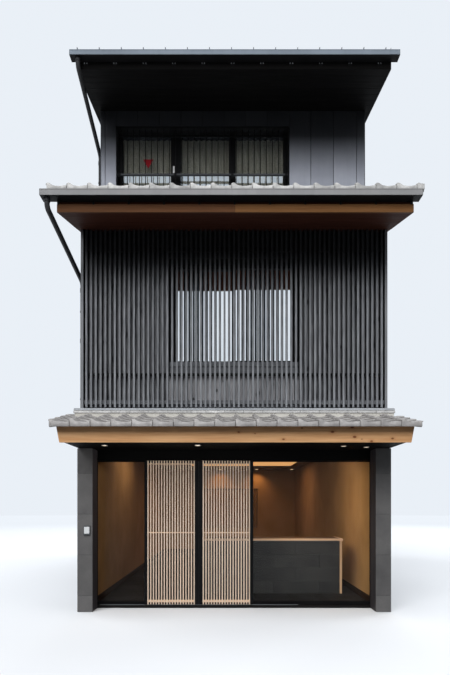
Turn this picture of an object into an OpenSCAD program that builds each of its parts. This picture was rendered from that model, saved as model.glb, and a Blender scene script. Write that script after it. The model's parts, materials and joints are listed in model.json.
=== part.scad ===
// Machiya townhouse of three storeys, one house of a row, in millimetres.
// The origin is the middle of the footprint at ground level. The street front faces -Y.
// A depth is measured back from the street line, which is the front face of the two piers.

/* [House body] */
// Width over the outer faces of the party walls
house_w = 4560; // [4300:10:5500]
// Depth from the street line to the back face
house_depth = 9100; // [8000:10:11000]
// Thickness of the party walls and of the rear wall
wall_t = 150; // [130:5:180]
// Top of the second floor
floor2_z = 2950; // [2900:10:3540]
// Height from the second floor to the third floor
storey2_h = 3080; // [2950:10:3700]
// Height of the third storey's front wall
storey3_h = 2340; // [2250:10:2900]
// Thickness of the two upper floors
floor_t = 250; // [200:10:300]
// Thickness of the ground slab
slab_t = 40; // [30:1:44]
// How far the third storey stands back
setback = 1320; // [1200:10:2000]

/* [Shopfront] */
// Width of a pier with its slate cladding
pier_w = 222; // [190:1:300]
// How far the slate cladding stands out past the party wall
cladding_t = 20; // [10:1:30]
// Depth of the entrance recess between the piers
recess = 290; // [250:5:400]
// Drop from the second floor to the soffit over the shopfront
soffit_drop = 550; // [450:5:600]
// Thickness of the soffit board
soffit_t = 20; // [12:1:30]
// Clear height under the door header
door_h = 2250; // [2000:5:2300]
// Depth of the header and of the sill
header_d = 150; // [145:5:200]
// Height of the sill under the doors
sill_h = 38; // [30:1:42]
// Height of the roller rail on the sill
rail_h = 6; // [4:1:8]
// Width of the roller rail
rail_w = 8; // [6:1:12]
// Middle of the doorway, to the left of the house's centre line
doorway_x = -536; // [-560:1:-400]
// Width of one door leaf
leaf_w = 830; // [760:5:840]
// How far a leaf slides open
leaf_travel = 690; // [600:5:700]
// Width of a leaf's outer stile and of a fixed post
stile_w = 46; // [40:1:55]
// Width of a leaf's meeting stile
meeting_w = 58; // [50:1:65]
// Thickness of a leaf, lattice included
leaf_t = 60; // [55:1:65]
// Running clearance of a leaf above, below and behind
leaf_gap = 6; // [5:1:10]
// Gap between the two meeting stiles
meeting_gap = 2; // [1:1:4]
// Slats in one leaf
door_slats = 18; // [12:1:22]
// Width of a door slat
door_slat_w = 20; // [14:1:24]
// Depth of a door slat
door_slat_d = 20; // [14:1:22]
// Diameter of a door roller
roller_d = 30; // [24:1:34]
// Gap between a roller and its rail
roller_gap = 0.3; // [0.1:0.1:0.5]
// Depth of the fixed frames
frame_d = 60; // [50:1:70]
// Thickness of the shop glass
shop_glass_t = 10; // [8:1:12]

/* [Reception counter] */
// Depth of the counter's front face
counter_y = 1280; // [1000:10:2000]
// Left end of the counter
counter_x0 = -496; // [-700:1:0]
// Right end of the counter
counter_x1 = 1876; // [1500:1:1950]
// Height of the counter
counter_h = 990; // [900:5:1100]
// Depth of the counter from front to back
counter_d = 600; // [450:10:700]
// Thickness of the wooden top
counter_top_t = 36; // [25:1:50]
// How far the top stands out past the counter's front
counter_lip = 15; // [5:1:30]

/* [Lower eave] */
// Depth of the eave fascias, forward of the street line
eave_out = 810; // [700:10:900]
// How far the cedar fascia hangs below the soffit
cedar_hang = 14; // [0:1:30]
// How far the top of the cedar fascia stays below the boarding
cedar_in = 10; // [5:1:60]
// Thickness of the fascia boards
fascia_t = 25; // [18:1:40]
// How far the lower fascia reaches past the party walls
cedar_over = 60; // [30:1:80]
// How far the ends of the cedar fascia are cut back at the bottom
cedar_rake = 40; // [0:1:60]
// Drop from the second floor to the lower roof's boarding at its front edge
low_deck_drop = 340; // [300:1:380]
// Rise of the lower roof for each unit of depth
low_slope = 0.264; // [0.2:0.002:0.27]
// Thickness of the lower roof's boarding
low_deck_t = 50; // [40:1:70]
// Thickness of the eave's end boards
eave_end_t = 30; // [20:1:40]
// Height of the straight face of the eave tiles
eave_face_h = 63; // [50:1:100]
// Thickness of the straight face of the eave tiles
eave_face_t = 20; // [16:1:25]

/* [Roof tiles] */
// Width that one tile covers
tile_pitch = 265.4; // [240:0.1:280]
// Length of one tile
tile_len = 300; // [280:1:320]
// Length of each tile that stays in view
tile_show = 235; // [220:1:250]
// Thickness of a tile
tile_t = 16; // [12:1:20]
// Gap between overlapping courses
tile_gap = 0.3; // [0.2:0.1:0.5]
// Height of the battens under the tiles
batten_h = 15; // [10:1:25]
// Width of the battens
batten_w = 30; // [24:1:40]
// Height of the roll along each tile
roll_h = 36; // [25:1:45]
// Width of the roll along each tile
roll_w = 96; // [80:1:120]
// Distance from a tile's edge to the top of its roll
roll_in = 22; // [15:1:30]
// Rise of a tile's other edge, which the next tile covers
edge_h = 20; // [16:1:24]
// Depth of the trough between two rolls
trough_h = 8; // [4:1:12]
// How far a course reaches past each party wall, to the nearest half tile
tile_side_out = 110; // [60:1:150]
// How far the lower roof's tiles reach past its fascia
low_tile_out = 120; // [80:1:140]
// How far the middle roof's tiles reach past its fascia, over the gutter
mid_tile_out = 70; // [50:1:80]
// Courses on the lower roof
low_courses = 4; // [3:1:4]
// Courses on the middle roof
mid_courses = 9; // [8:1:9]

/* [Lattice] */
// Depth of the front face of the lattice
lattice_y = 100; // [80:1:110]
// Bottom of the lattice above the second floor
lattice_up = 100; // [90:1:140]
// Width of a lattice slat
slat_w = 30; // [24:1:36]
// Depth of a lattice slat
slat_d = 30; // [24:1:36]
// Distance from slat to slat
slat_pitch = 70.85; // [66:0.05:71]
// Depth of the rails behind the slats
lattice_rail_d = 35; // [25:1:40]
// Height of the rails behind the slats
lattice_rail_h = 60; // [40:1:80]
// Height of the low rail above the bottom of the lattice
low_rail_up = 455; // [430:5:480]
// Width of the boards that end the lattice
end_board_w = 42; // [35:1:45]
// Width of the boards behind the lattice
back_board_w = 45; // [38:1:50]
// Thickness of the boards behind the lattice
back_board_t = 15; // [10:1:18]
// Thickness of the backing of those boards
backing_t = 20; // [12:1:24]

/* [Second storey] */
// Depth of the second storey's front wall
wall2_y = 230; // [225:1:260]
// Thickness of the second storey's front wall
wall2_t = 220; // [100:5:250]
// Half the width of its window
win2_half = 960; // [800:5:1000]
// Bottom of its window above the second floor
win2_up = 780; // [640:5:900]
// Height of its window
win2_h = 1540; // [1400:10:1700]

/* [Middle eave] */
// Rise of the middle roof for each unit of depth
mid_slope = 0.30; // [0.26:0.005:0.34]
// Thickness of the middle roof's boarding and rafters
mid_deck_t = 255; // [200:5:280]
// How far the middle roof's boarding reaches past the party walls
mid_over = 50; // [30:1:80]
// Height of the wooden fascia
mid_fascia_h = 107; // [90:1:140]

/* [Third storey] */
// Thickness of the third storey's front wall
wall3_t = 200; // [180:5:250]
// Left side of the window
win3_x0 = -2000; // [-2030:5:-1700]
// Right side of the window
win3_x1 = 962; // [800:1:1200]
// Bottom of the window above the third floor
win3_up = 520; // [480:5:700]
// Height of the window
win3_h = 1535; // [1400:5:1560]
// Width of its frame at both sides
win3_side_w = 75; // [60:1:90]
// Width of the post between its single light and its pair of lights
win3_post_w = 177; // [150:1:190]
// Width of the post between the pair of lights
win3_mid_w = 115; // [90:1:130]
// Distance from bar to bar of the window grille
bar_pitch = 105; // [90:1:120]
// Diameter of the round grille bars
bar_d = 14; // [10:1:18]
// Height of the guard rail above the third floor
guard_up = 1245; // [1100:5:1300]
// Side of the square guard rail
guard_w = 32; // [25:1:40]

/* [Windows] */
// Width of the window frames and sash members
sash_w = 60; // [50:1:70]
// Depth of the window frames
sash_d = 60; // [50:1:80]
// Thickness of the window glass
pane_t = 12; // [8:1:20]
// Half the width of the rear windows
rear_half = 850; // [600:5:900]
// Bottom of the rear windows above each floor
rear_up = 900; // [800:10:1000]
// Height of the rear windows
rear_h = 1100; // [900:10:1200]

/* [Top roof] */
// Rise of the top roof for each unit of depth
top_slope = 0.18; // [0.14:0.005:0.22]
// Depth of the top eave's front face
top_eave_y = 250; // [150:10:450]
// How far the top roof reaches behind the rear wall
top_back = 450; // [300:10:600]
// Thickness of the top roof
top_deck_t = 265; // [220:5:280]
// How far the top roof reaches past the party walls
top_over = 95; // [80:1:110]
// Thickness of the sheet metal with its underlay
sheet_t = 8; // [6:1:10]
// Distance from seam to seam
seam_pitch = 333; // [300:1:335]
// How far the middle seam lies to the right of the middle of the roof
seam_shift = -36; // [-38:1:38]
// Height of a standing seam
seam_h = 34; // [20:1:40]
// Width of a standing seam
seam_w = 10; // [8:1:14]
// Half the width of the ridge cap
cap_half = 130; // [100:5:160]

/* [Gutters and downpipes] */
// Width of the gutters at the top roof from front to back
gutter_w = 130; // [110:1:140]
// Width of the middle gutter, which reaches back over its fascia
mid_gutter_w = 155; // [145:1:165]
// Height of a gutter at its front
gutter_h = 79; // [70:1:100]
// Height of a gutter at its back
gutter_back_h = 95; // [85:1:110]
// Thickness of the gutter sheet
gutter_t = 4; // [3:1:6]
// How far the middle gutter reaches past the party wall on the side of the downpipes
gutter_over = 232; // [200:1:240]
// How far the middle gutter reaches past the other party wall
gutter_side_out = 120; // [100:1:150]
// Diameter of the downpipes
pipe_d = 60; // [50:1:70]
// Distance from a party wall to the middle of a downpipe
pipe_off = 55; // [50:1:60]

/* [Hidden] */
$fn = 32;
half_w = house_w / 2;
inner_half = half_w - wall_t;
front_y = -house_depth / 2;
floor3_z = floor2_z + storey2_h;
wall3_back = setback + wall3_t;
ridge_y = (setback + house_depth) / 2;
rear_in = house_depth - wall_t;
wall_top_z = floor3_z + storey3_h;
cut = 1;
seat_gap = 0.2;
frame_in = 20;
soffit_z = floor2_z - soffit_drop;
low_deck_z = floor2_z - low_deck_drop;
cedar_z = soffit_z - cedar_hang;
lattice_z = floor2_z + lattice_up;
tile_n = round((house_w + 2 * tile_side_out) / tile_pitch);
slat_half_n = floor((half_w - end_board_w - slat_w / 2) / slat_pitch);

// Underside of the middle roof at a depth d
function mid_under(d) = floor3_z - mid_slope * (setback - d);
// Underside of the top roof at a depth d
function top_under(d) = wall_top_z + top_slope * (d < ridge_y ? d - setback : house_depth - d);
// Top of the lower roof's boarding at a depth d
function low_top(d) = low_deck_z + low_slope * (d + eave_out);
// Top of the middle roof's boarding at a depth d
function mid_top(d) = mid_under(d) + mid_deck_t;

// A block between two corners, with y as depths behind the street line
module block(x0, x1, y0, y1, z0, z1) {
    translate([x0, front_y + y0, z0]) cube([x1 - x0, y1 - y0, z1 - z0]);
}

// A side profile of [depth, height] points, carried along X
module along_x(points, x0, x1) {
    translate([x0, front_y, 0]) rotate([90, 0, 90]) linear_extrude(height = x1 - x0) polygon(points);
}

// A plan of [x, depth] points, carried up along Z
module up_z(points, z0, z1) {
    translate([0, front_y, z0]) linear_extrude(height = z1 - z0) polygon(points);
}

// Walls and floors
module ground_slab() {
    color("dimgray") block(-inner_half, inner_half, recess + header_d, rear_in, 0, slab_t);
}

lower_wall_side = [[recess, 0], [house_depth, 0], [house_depth, floor3_z], [setback, floor3_z],
    [recess, mid_under(recess)]];
upper_wall_side = [[wall3_back, floor3_z], [house_depth, floor3_z],
    [house_depth, top_under(house_depth)], [ridge_y, top_under(ridge_y)],
    [wall3_back, top_under(wall3_back)]];

module left_wall_lower() {
    color("lightslategray") along_x(lower_wall_side, -half_w, -inner_half);
}

module right_wall_lower() {
    color("lightslategray") along_x(lower_wall_side, inner_half, half_w);
}

module left_wall_upper() {
    color("lightslategray") along_x(upper_wall_side, -half_w, -inner_half);
}

module right_wall_upper() {
    color("lightslategray") along_x(upper_wall_side, inner_half, half_w);
}

rear_sills = [slab_t + rear_up, floor2_z + rear_up, floor3_z + rear_up];

module rear_wall() {
    color("lightslategray") difference() {
        along_x([[rear_in, 0], [house_depth, 0], [house_depth, top_under(house_depth)],
            [rear_in, top_under(rear_in)]], -inner_half, inner_half);
        for (z = rear_sills)
            block(-rear_half, rear_half, rear_in - cut, house_depth + cut, z, z + rear_h);
    }
}

module second_floor() {
    color("burlywood") block(-inner_half, inner_half, wall2_y, rear_in, floor2_z - floor_t, floor2_z);
}

module third_floor() {
    color("burlywood") block(-inner_half, inner_half, setback, rear_in, floor3_z - floor_t, floor3_z);
}

// Windows: a frame with its sash members, and the panes between them
// Edges of the openings between mullions: [left, right] for each light
module window_frame(x0, x1, y, z0, z1, lights) {
    difference() {
        block(x0, x1, y, y + sash_d, z0, z1);
        for (l = lights) block(l[0], l[1], y - cut, y + sash_d + cut, z0 + sash_w, z1 - sash_w);
    }
}

module window_panes(y, z0, z1, lights) {
    for (l = lights)
        block(l[0], l[1], y + (sash_d - pane_t) / 2, y + (sash_d + pane_t) / 2, z0 + sash_w, z1 - sash_w);
}

rear_lights = [[-rear_half + sash_w, -sash_w / 2], [sash_w / 2, rear_half - sash_w]];
rear_frame_y = rear_in + wall_t - sash_d - frame_in;

module rear_window_frames() {
    color("black") for (z = rear_sills)
        window_frame(-rear_half, rear_half, rear_frame_y, z, z + rear_h, rear_lights);
}

module rear_window_glass() {
    color("lightblue", 0.4) for (z = rear_sills) window_panes(rear_frame_y, z, z + rear_h, rear_lights);
}

// Piers, header and doors of the shopfront
pier_x = half_w + cladding_t;
pier_in = pier_x - pier_w;

module left_pier() {
    color("slategray") block(-pier_x, -pier_in, 0, recess, 0, soffit_z);
}

module right_pier() {
    color("slategray") block(pier_in, pier_x, 0, recess, 0, soffit_z);
}

header_back = recess + header_d;

module shop_header() {
    color("black") block(-inner_half, inner_half, recess, header_back, door_h, floor2_z - floor_t);
}

leaf_y = recess + 10;
rail_y = leaf_y + leaf_t / 2 + door_slat_d / 2;
leaf_z0 = sill_h + rail_h + leaf_gap;
leaf_z1 = door_h - leaf_gap;

module door_sill() {
    color("dimgray") block(-inner_half, inner_half, recess, header_back, 0, sill_h);
    color("silver") block(doorway_x - leaf_w - leaf_travel, doorway_x + leaf_w + leaf_travel,
        rail_y - rail_w / 2, rail_y + rail_w / 2, sill_h, sill_h + rail_h);
}

fixed_y = leaf_y + leaf_t + leaf_gap;
fixed_z0 = sill_h + stile_w;
fixed_z1 = door_h - stile_w;
left_post_x = doorway_x - leaf_w;
right_post_x = doorway_x + leaf_w - stile_w;
side_channel_w = inner_half - pier_in;

module fixed_light(x0, x1, left_w, right_w) {
    difference() {
        block(x0, x1, fixed_y, fixed_y + frame_d, sill_h, door_h);
        block(x0 + left_w, x1 - right_w, fixed_y - cut, fixed_y + frame_d + cut, fixed_z0, fixed_z1);
    }
}

module shop_frame() {
    color("black") {
        fixed_light(-inner_half, left_post_x + stile_w, side_channel_w, stile_w);
        fixed_light(right_post_x, inner_half, stile_w, side_channel_w);
    }
}

shop_glass_y = fixed_y + (frame_d - shop_glass_t) / 2;

module shop_glass() {
    color("lightblue", 0.4) {
        block(-pier_in, left_post_x, shop_glass_y, shop_glass_y + shop_glass_t, fixed_z0, fixed_z1);
        block(right_post_x + stile_w, pier_in, shop_glass_y, shop_glass_y + shop_glass_t, fixed_z0, fixed_z1);
    }
}

leaf_bottom_h = 60;
leaf_top_h = 40;
leaf_back_y = leaf_y + leaf_t;
leaf_rail_y = leaf_y + door_slat_d + 2;
leaf_glass_t = 6;
leaf_glass_y = (leaf_rail_y + leaf_back_y - leaf_glass_t) / 2;
light_x0 = doorway_x - leaf_w + stile_w;
light_x1 = doorway_x - meeting_gap / 2 - meeting_w;
roller_in = 120;
roller_w = 12;
leaf_rail_zs = [leaf_z0 + 40, (leaf_z0 + leaf_z1) / 2 - 17, leaf_z1 - 64];
leaf_rail_hs = [36, 14, 14];

// The left leaf; the right leaf is its mirror image about the middle of the doorway
module leaf_frame() {
    block(doorway_x - leaf_w, light_x0, leaf_y, leaf_back_y, leaf_z0, leaf_z1);
    block(light_x1, doorway_x - meeting_gap / 2, leaf_y, leaf_back_y, leaf_z0, leaf_z1);
    difference() {
        block(light_x0, light_x1, leaf_rail_y, leaf_back_y, leaf_z0, leaf_z0 + leaf_bottom_h);
        for (x = [light_x0 + roller_in, light_x1 - roller_in])
            block(x - roller_d, x + roller_d, rail_y - roller_w, rail_y + roller_w, leaf_z0 - cut,
                leaf_z0 + roller_d);
    }
    block(light_x0, light_x1, leaf_rail_y, leaf_back_y, leaf_z1 - leaf_top_h, leaf_z1);
    for (x = [light_x0 + roller_in, light_x1 - roller_in]) roller(x);
}

// A roller on its axle, let into the bottom rail
module roller(x) {
    axle_z = sill_h + rail_h + roller_gap + roller_d / 2;
    translate([x, front_y + rail_y - roller_w / 2, axle_z]) rotate([-90, 0, 0])
        cylinder(h = roller_w, d = roller_d);
    translate([x, front_y + rail_y - roller_w - cut, axle_z]) rotate([-90, 0, 0])
        cylinder(h = 2 * (roller_w + cut), d = roller_d / 4);
}

module leaf_lattice() {
    slat_step = (light_x1 - light_x0 - door_slat_w - 2 * meeting_gap) / (door_slats - 1);
    for (i = [0 : door_slats - 1]) {
        x = light_x0 + meeting_gap + i * slat_step;
        block(x, x + door_slat_w, leaf_y, leaf_y + door_slat_d, leaf_z0, leaf_z1);
    }
    for (i = [0 : 2])
        block(light_x0 + seat_gap, light_x1 - seat_gap, leaf_y + door_slat_d / 3, leaf_rail_y - seat_gap,
            leaf_rail_zs[i], leaf_rail_zs[i] + leaf_rail_hs[i]);
}

module leaf_glass() {
    block(light_x0, light_x1, leaf_glass_y, leaf_glass_y + leaf_glass_t, leaf_z0 + leaf_bottom_h,
        leaf_z1 - leaf_top_h);
}

module other_leaf() {
    translate([2 * doorway_x, 0, 0]) mirror([1, 0, 0]) children();
}

module left_leaf_frame() { color("black") leaf_frame(); }
module left_leaf_lattice() { color("tan") leaf_lattice(); }
module left_leaf_glass() { color("lightblue", 0.4) leaf_glass(); }
module right_leaf_frame() { color("black") other_leaf() leaf_frame(); }
module right_leaf_lattice() { color("tan") other_leaf() leaf_lattice(); }
module right_leaf_glass() { color("lightblue", 0.4) other_leaf() leaf_glass(); }

module entrance_soffit() {
    color("black") block(-half_w, half_w, fascia_t - eave_out, recess, soffit_z, soffit_z + soffit_t);
}

light_places = [[-1812, -370], [-515, -370], [1535, -296], [1887, -173]];
light_d = 90;
light_h = 5;

module downlights() {
    color("white") for (p = light_places)
        translate([p[0], front_y + p[1], soffit_z - light_h]) cylinder(h = light_h, d = light_d);
}

intercom_w = 97;
intercom_h = 142;
intercom_t = 25;
intercom_z = 1125;

module intercom() {
    color("silver") block(-pier_in - intercom_w - 30, -pier_in - 30, -intercom_t, 0, intercom_z,
        intercom_z + intercom_h);
}

// Reception counter behind the shop glass
module counter_body() {
    color("darkslategray") block(counter_x0, counter_x1, counter_y, counter_y + counter_d, slab_t,
        counter_h - counter_top_t);
}

module counter_top() {
    color("tan") block(counter_x0 - counter_lip, counter_x1 + counter_lip, counter_y - counter_lip,
        counter_y + counter_d, counter_h - counter_top_t, counter_h);
}

// Roof tiles
// Height of a tile's underside at a distance x from its edge: a roll, a wide trough and a rising edge
rise_x = tile_pitch * 0.84;
edge_x = tile_pitch - 4;
function tile_wave(x) =
    x < roll_w ? roll_h * (1 + cos(180 * (x - roll_in) / (roll_w - roll_in))) / 2
    : x < rise_x ? -trough_h * sin(180 * (x - roll_w) / (rise_x - roll_w))
    : edge_h * (1 - cos(90 * (x - rise_x) / (edge_x - rise_x)));
roll_xs = [0, for (i = [0 : 3]) roll_in + i * (roll_w - roll_in) / 3];
wave_xs = concat(roll_xs, [(roll_w + rise_x) / 2, rise_x, edge_x]);

// The wave over n tiles, with one more roll at the end where closed is true
function wave_line(n, closed) = concat(
    [for (k = [0 : n - 1]) for (x = wave_xs) [k * tile_pitch + x, tile_wave(x)]],
    closed ? [for (x = roll_xs) [n * tile_pitch + x, tile_wave(x)]] : []);
function raised(points, h) = [for (p = points) [p[0], p[1] + h]];
function reversed(points) = [for (i = [len(points) - 1 : -1 : 0]) points[i]];

// Angle between a tile and the boarding, which lets each course lie on the one below
tile_tilt = asin((tile_t + tile_gap) / tile_show);
// Height of a trough's underside above the boarding, at a distance s up from the tile's lower end
function trough_rise(s) = batten_h + (tile_len - s) * sin(tile_tilt);

// One course: a waved plate whose upper end rests on a batten and whose lower end lies on the course below
module tile_course(k, slope, closed) {
    line = wave_line(tile_n, closed);
    rotate([atan(slope), 0, 0]) translate([0, k * tile_show, trough_rise(0) + trough_h])
        rotate([-tile_tilt, 0, 0]) translate([0, tile_len, 0]) rotate([90, 0, 0])
            linear_extrude(height = tile_len) polygon(concat(line, reversed(raised(line, tile_t))));
}

// Battens under the upper ends of the courses, and an eave strip under the first course
module battens(y, z, courses, slope, half) {
    eave_s = (fascia_t - eave_out - y) / cos(atan(slope));
    translate([-half, front_y + y, z]) rotate([atan(slope), 0, 0]) {
        for (k = [0 : courses - 1]) translate([0, k * tile_show + tile_len - batten_w, -cut])
            cube([2 * half, batten_w, cut + batten_h - tile_gap]);
        translate([0, eave_s + cut, -cut])
            cube([2 * half, batten_w, cut + trough_rise(eave_s + batten_w) - tile_gap]);
    }
}

// Courses from an eave point at a depth y and a height z of the boarding
module tile_field(y, z, courses, slope, closed) {
    field_w = tile_n * tile_pitch + (closed ? roll_w : 0);
    translate([-field_w / 2, front_y + y, z])
        for (k = [0 : courses - 1]) tile_course(k, slope, closed);
}

low_front = -eave_out - low_tile_out;
mid_front = -eave_out - mid_tile_out;

module lower_roof_tiles() {
    line = wave_line(tile_n, false);
    lift = trough_rise(0) + trough_h;
    tile_z = low_top(low_front);
    face_top = tile_z + lift * cos(atan(low_slope));
    face_y = low_front - lift * sin(atan(low_slope));
    color("gainsboro") {
        tile_field(low_front, tile_z, low_courses, low_slope, false);
        // Straight faces of the eave tiles
        translate([-tile_n * tile_pitch / 2, front_y + face_y + eave_face_t / 4, 0]) rotate([90, 0, 0])
            linear_extrude(height = eave_face_t)
                polygon(concat([[0, face_top - eave_face_h + tile_t],
                    [tile_n * tile_pitch, face_top - eave_face_h + tile_t]],
                    reversed(raised(line, face_top + tile_t / 2))));
    }
}

module middle_roof_tiles() {
    color("gainsboro") tile_field(mid_front, mid_top(mid_front), mid_courses, mid_slope, true);
}

// Bottom of the boards that end the lattice
end_board_z = lattice_z - 72;

// Flat ridge tiles in two steps, bedded on the tiles, under a flashing that runs back to the wall
ridge_front = -70;
ridge_half = half_w + cedar_over;
flashing_t = 6;
flashing_lip = 24;

module lower_ridge_tiles() {
    bed = (trough_rise(0) + trough_h + tile_t + roll_h) / cos(atan(low_slope)) + tile_gap;
    z = low_top(ridge_front) + bed;
    step_y = ridge_front + 20;
    top = end_board_z - flashing_t;
    color("gray") along_x([[ridge_front, z], [lattice_y, low_top(lattice_y) + bed], [lattice_y, top],
        [step_y, top], [step_y, (z + top) / 2], [ridge_front, (z + top) / 2]], -ridge_half, ridge_half);
    color("dimgray") along_x([[step_y, top - flashing_lip], [step_y, top], [wall2_y, top],
        [wall2_y, top + flashing_t], [step_y - flashing_t, top + flashing_t],
        [step_y - flashing_t, top - flashing_lip]], -ridge_half + 10, ridge_half - 10);
}

module lower_roof_deck() {
    d0 = fascia_t - eave_out;
    soffit_top = soffit_z + soffit_t;
    end_side = [[d0, soffit_top], [wall2_y, soffit_top], [wall2_y, low_top(wall2_y)], [d0, low_top(d0)]];
    deck_side = [[d0, low_top(d0) - low_deck_t], [wall2_y, low_top(wall2_y) - low_deck_t],
        [wall2_y, low_top(wall2_y)], [d0, low_top(d0)]];
    color("saddlebrown") {
        along_x(deck_side, -half_w, half_w);
        block(-half_w, half_w, d0, d0 + 2 * eave_end_t, soffit_top, low_top(d0) - cut);
        along_x(end_side, -half_w, eave_end_t - half_w);
        along_x(end_side, half_w - eave_end_t, half_w);
        battens(low_front, low_top(low_front), low_courses, low_slope, half_w);
    }
}

module lower_fascia() {
    top = half_w + cedar_over;
    color("burlywood") translate([0, front_y - eave_out + fascia_t, 0]) rotate([90, 0, 0])
        linear_extrude(height = fascia_t)
            polygon([[-top + cedar_rake, cedar_z], [top - cedar_rake, cedar_z],
                [top, low_deck_z - cedar_in], [-top, low_deck_z - cedar_in]]);
}

// Second storey
win2_z = floor2_z + win2_up;
wall2_back = wall2_y + wall2_t;

module front_wall_second() {
    color("darkslategray") difference() {
        along_x([[wall2_y, floor2_z], [wall2_back, floor2_z], [wall2_back, mid_under(wall2_back)],
            [wall2_y, mid_under(wall2_y)]], -inner_half, inner_half);
        block(-win2_half, win2_half, wall2_y - cut, wall2_back + cut, win2_z, win2_z + win2_h);
    }
}

win2_lights = [[-win2_half + sash_w, -sash_w / 2], [sash_w / 2, win2_half - sash_w]];
win2_frame_y = wall2_back - sash_d - frame_in;

module second_window_frame() {
    color("black") window_frame(-win2_half, win2_half, win2_frame_y, win2_z, win2_z + win2_h, win2_lights);
}

module second_window_glass() {
    color("lightblue", 0.4) window_panes(win2_frame_y, win2_z, win2_z + win2_h, win2_lights);
}

// Boards behind the lattice, in plan: a backing with a board behind each gap between two slats
backing_y = wall2_y - backing_t;
screen_top = mid_under(backing_y - back_board_t) - 2;
function board_edges(i) = [for (side = [-1, 1]) (i + 0.5) * slat_pitch + side * back_board_w / 2];
function board_plan(i0, i1) = concat(
    [[board_edges(i1)[1], wall2_y], [board_edges(i0)[0], wall2_y]],
    [for (i = [i0 : i1]) each [[board_edges(i)[0], backing_y - back_board_t],
        [board_edges(i)[1], backing_y - back_board_t],
        if (i < i1) [board_edges(i)[1], backing_y], if (i < i1) [board_edges(i + 1)[0], backing_y]]]);
win_board = ceil(win2_half / slat_pitch + 0.2);
board_last = slat_half_n - 1;
low_rail_z = lattice_z + low_rail_up;
low_rail_top = low_rail_z + lattice_rail_h;

module board_screen() {
    color("darkslategray") {
        up_z(board_plan(-board_last - 1, board_last), lattice_z + 10, low_rail_z);
        up_z(board_plan(-board_last - 1, -win_board - 1), low_rail_top, screen_top);
        up_z(board_plan(win_board, board_last), low_rail_top, screen_top);
        up_z(board_plan(-win_board, win_board - 1), win2_z + win2_h, screen_top);
    }
}

// Front lattice: slats let into the rails behind them, with a board at each end
slat_back = lattice_y + slat_d;
notch = 4;
lattice_top = mid_under(lattice_y) - 2;
lattice_rails = [lattice_z + 20, low_rail_z, win2_z + win2_h + 80];

module lattice() {
    color("dimgray") {
        for (i = [-slat_half_n : slat_half_n])
            block(i * slat_pitch - slat_w / 2, i * slat_pitch + slat_w / 2, lattice_y, slat_back, lattice_z,
                lattice_top);
        for (z = lattice_rails)
            block(end_board_w - half_w - 1, half_w - end_board_w + 1, slat_back - notch,
                slat_back + lattice_rail_d, z, z + lattice_rail_h);
        for (side = [0, 1]) mirror([side, 0, 0])
            along_x([[lattice_y, end_board_z], [recess, end_board_z], [recess, mid_under(recess)],
                [lattice_y, mid_under(lattice_y)]], half_w - end_board_w, half_w);
    }
}

// Middle eave
module middle_roof_deck() {
    d0 = fascia_t - eave_out;
    color("saddlebrown") {
        along_x([[d0, mid_under(d0)], [setback, mid_under(setback)], [setback, mid_top(setback)],
            [d0, mid_top(d0)]], -half_w - mid_over, half_w + mid_over);
        battens(mid_front, mid_top(mid_front), mid_courses, mid_slope, half_w + mid_over);
    }
}

module middle_fascia() {
    z = mid_under(-eave_out);
    color("sienna") block(-half_w - mid_over, half_w + mid_over, -eave_out, fascia_t - eave_out, z,
        z + mid_fascia_h);
}

// Third storey
win3_z = floor3_z + win3_up;

module front_wall_third() {
    color("gray") difference() {
        along_x([[setback, floor3_z], [wall3_back, floor3_z], [wall3_back, top_under(wall3_back)],
            [setback, top_under(setback)]], -half_w, half_w);
        block(win3_x0, win3_x1, setback - cut, wall3_back + cut, win3_z, win3_z + win3_h);
    }
}

win3_light_w = (win3_x1 - win3_x0 - 2 * win3_side_w - win3_post_w - win3_mid_w) / 3;
win3_first = win3_x0 + win3_side_w;
win3_pairs = [for (x = [win3_first, win3_first + win3_light_w + win3_post_w,
    win3_first + 2 * win3_light_w + win3_post_w + win3_mid_w]) [x, x + win3_light_w]];
win3_posts = [win3_x0 + win3_side_w / 2, win3_first + win3_light_w + win3_post_w / 2,
    win3_pairs[2][0] - win3_mid_w / 2, win3_x1 - win3_side_w / 2];
win3_frame_y = wall3_back - sash_d - frame_in;

module third_window_frame() {
    color("black") window_frame(win3_x0, win3_x1, win3_frame_y, win3_z, win3_z + win3_h, win3_pairs);
}

module third_window_glass() {
    color("lightblue", 0.4) window_panes(win3_frame_y, win3_z, win3_z + win3_h, win3_pairs);
}

// Grille: round bars between flat rails, with the guard rail and its round fixings
grille_y = setback + 50;
flat_d = 20;
flat_h = 12;
fixing_d = 50;
fixing_h = 14;

module window_grille() {
    bars = floor((win3_x1 - win3_x0) / bar_pitch);
    first = (win3_x0 + win3_x1 - (bars - 1) * bar_pitch) / 2;
    guard_z = floor3_z + guard_up;
    flats = [win3_z + 40, win3_z + win3_h - 130, win3_z + win3_h - 70];
    color("black") {
        for (i = [0 : bars - 1])
            translate([first + i * bar_pitch, front_y + grille_y, win3_z])
                cylinder(h = win3_h, d = bar_d, $fn = 8);
        for (z = flats)
            block(win3_x0, win3_x1, grille_y - flat_d / 2, grille_y + flat_d / 2, z, z + flat_h);
        block(win3_x0, win3_x1, grille_y - guard_w, grille_y, guard_z, guard_z + guard_w);
        for (x = win3_posts)
            translate([x, front_y + grille_y - guard_w + cut, guard_z + guard_w / 2]) rotate([90, 0, 0])
                cylinder(h = fixing_h, d = fixing_d);
    }
}

// Top roof
top_half = half_w + top_over;
top_back_y = house_depth + top_back;
function top_surface(d) = top_under(d) + top_deck_t;

module top_roof_front() {
    color("black") along_x([[top_eave_y, top_under(top_eave_y)], [ridge_y, top_under(ridge_y)],
        [ridge_y, top_surface(ridge_y)], [top_eave_y, top_surface(top_eave_y)]], -top_half, top_half);
}

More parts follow.
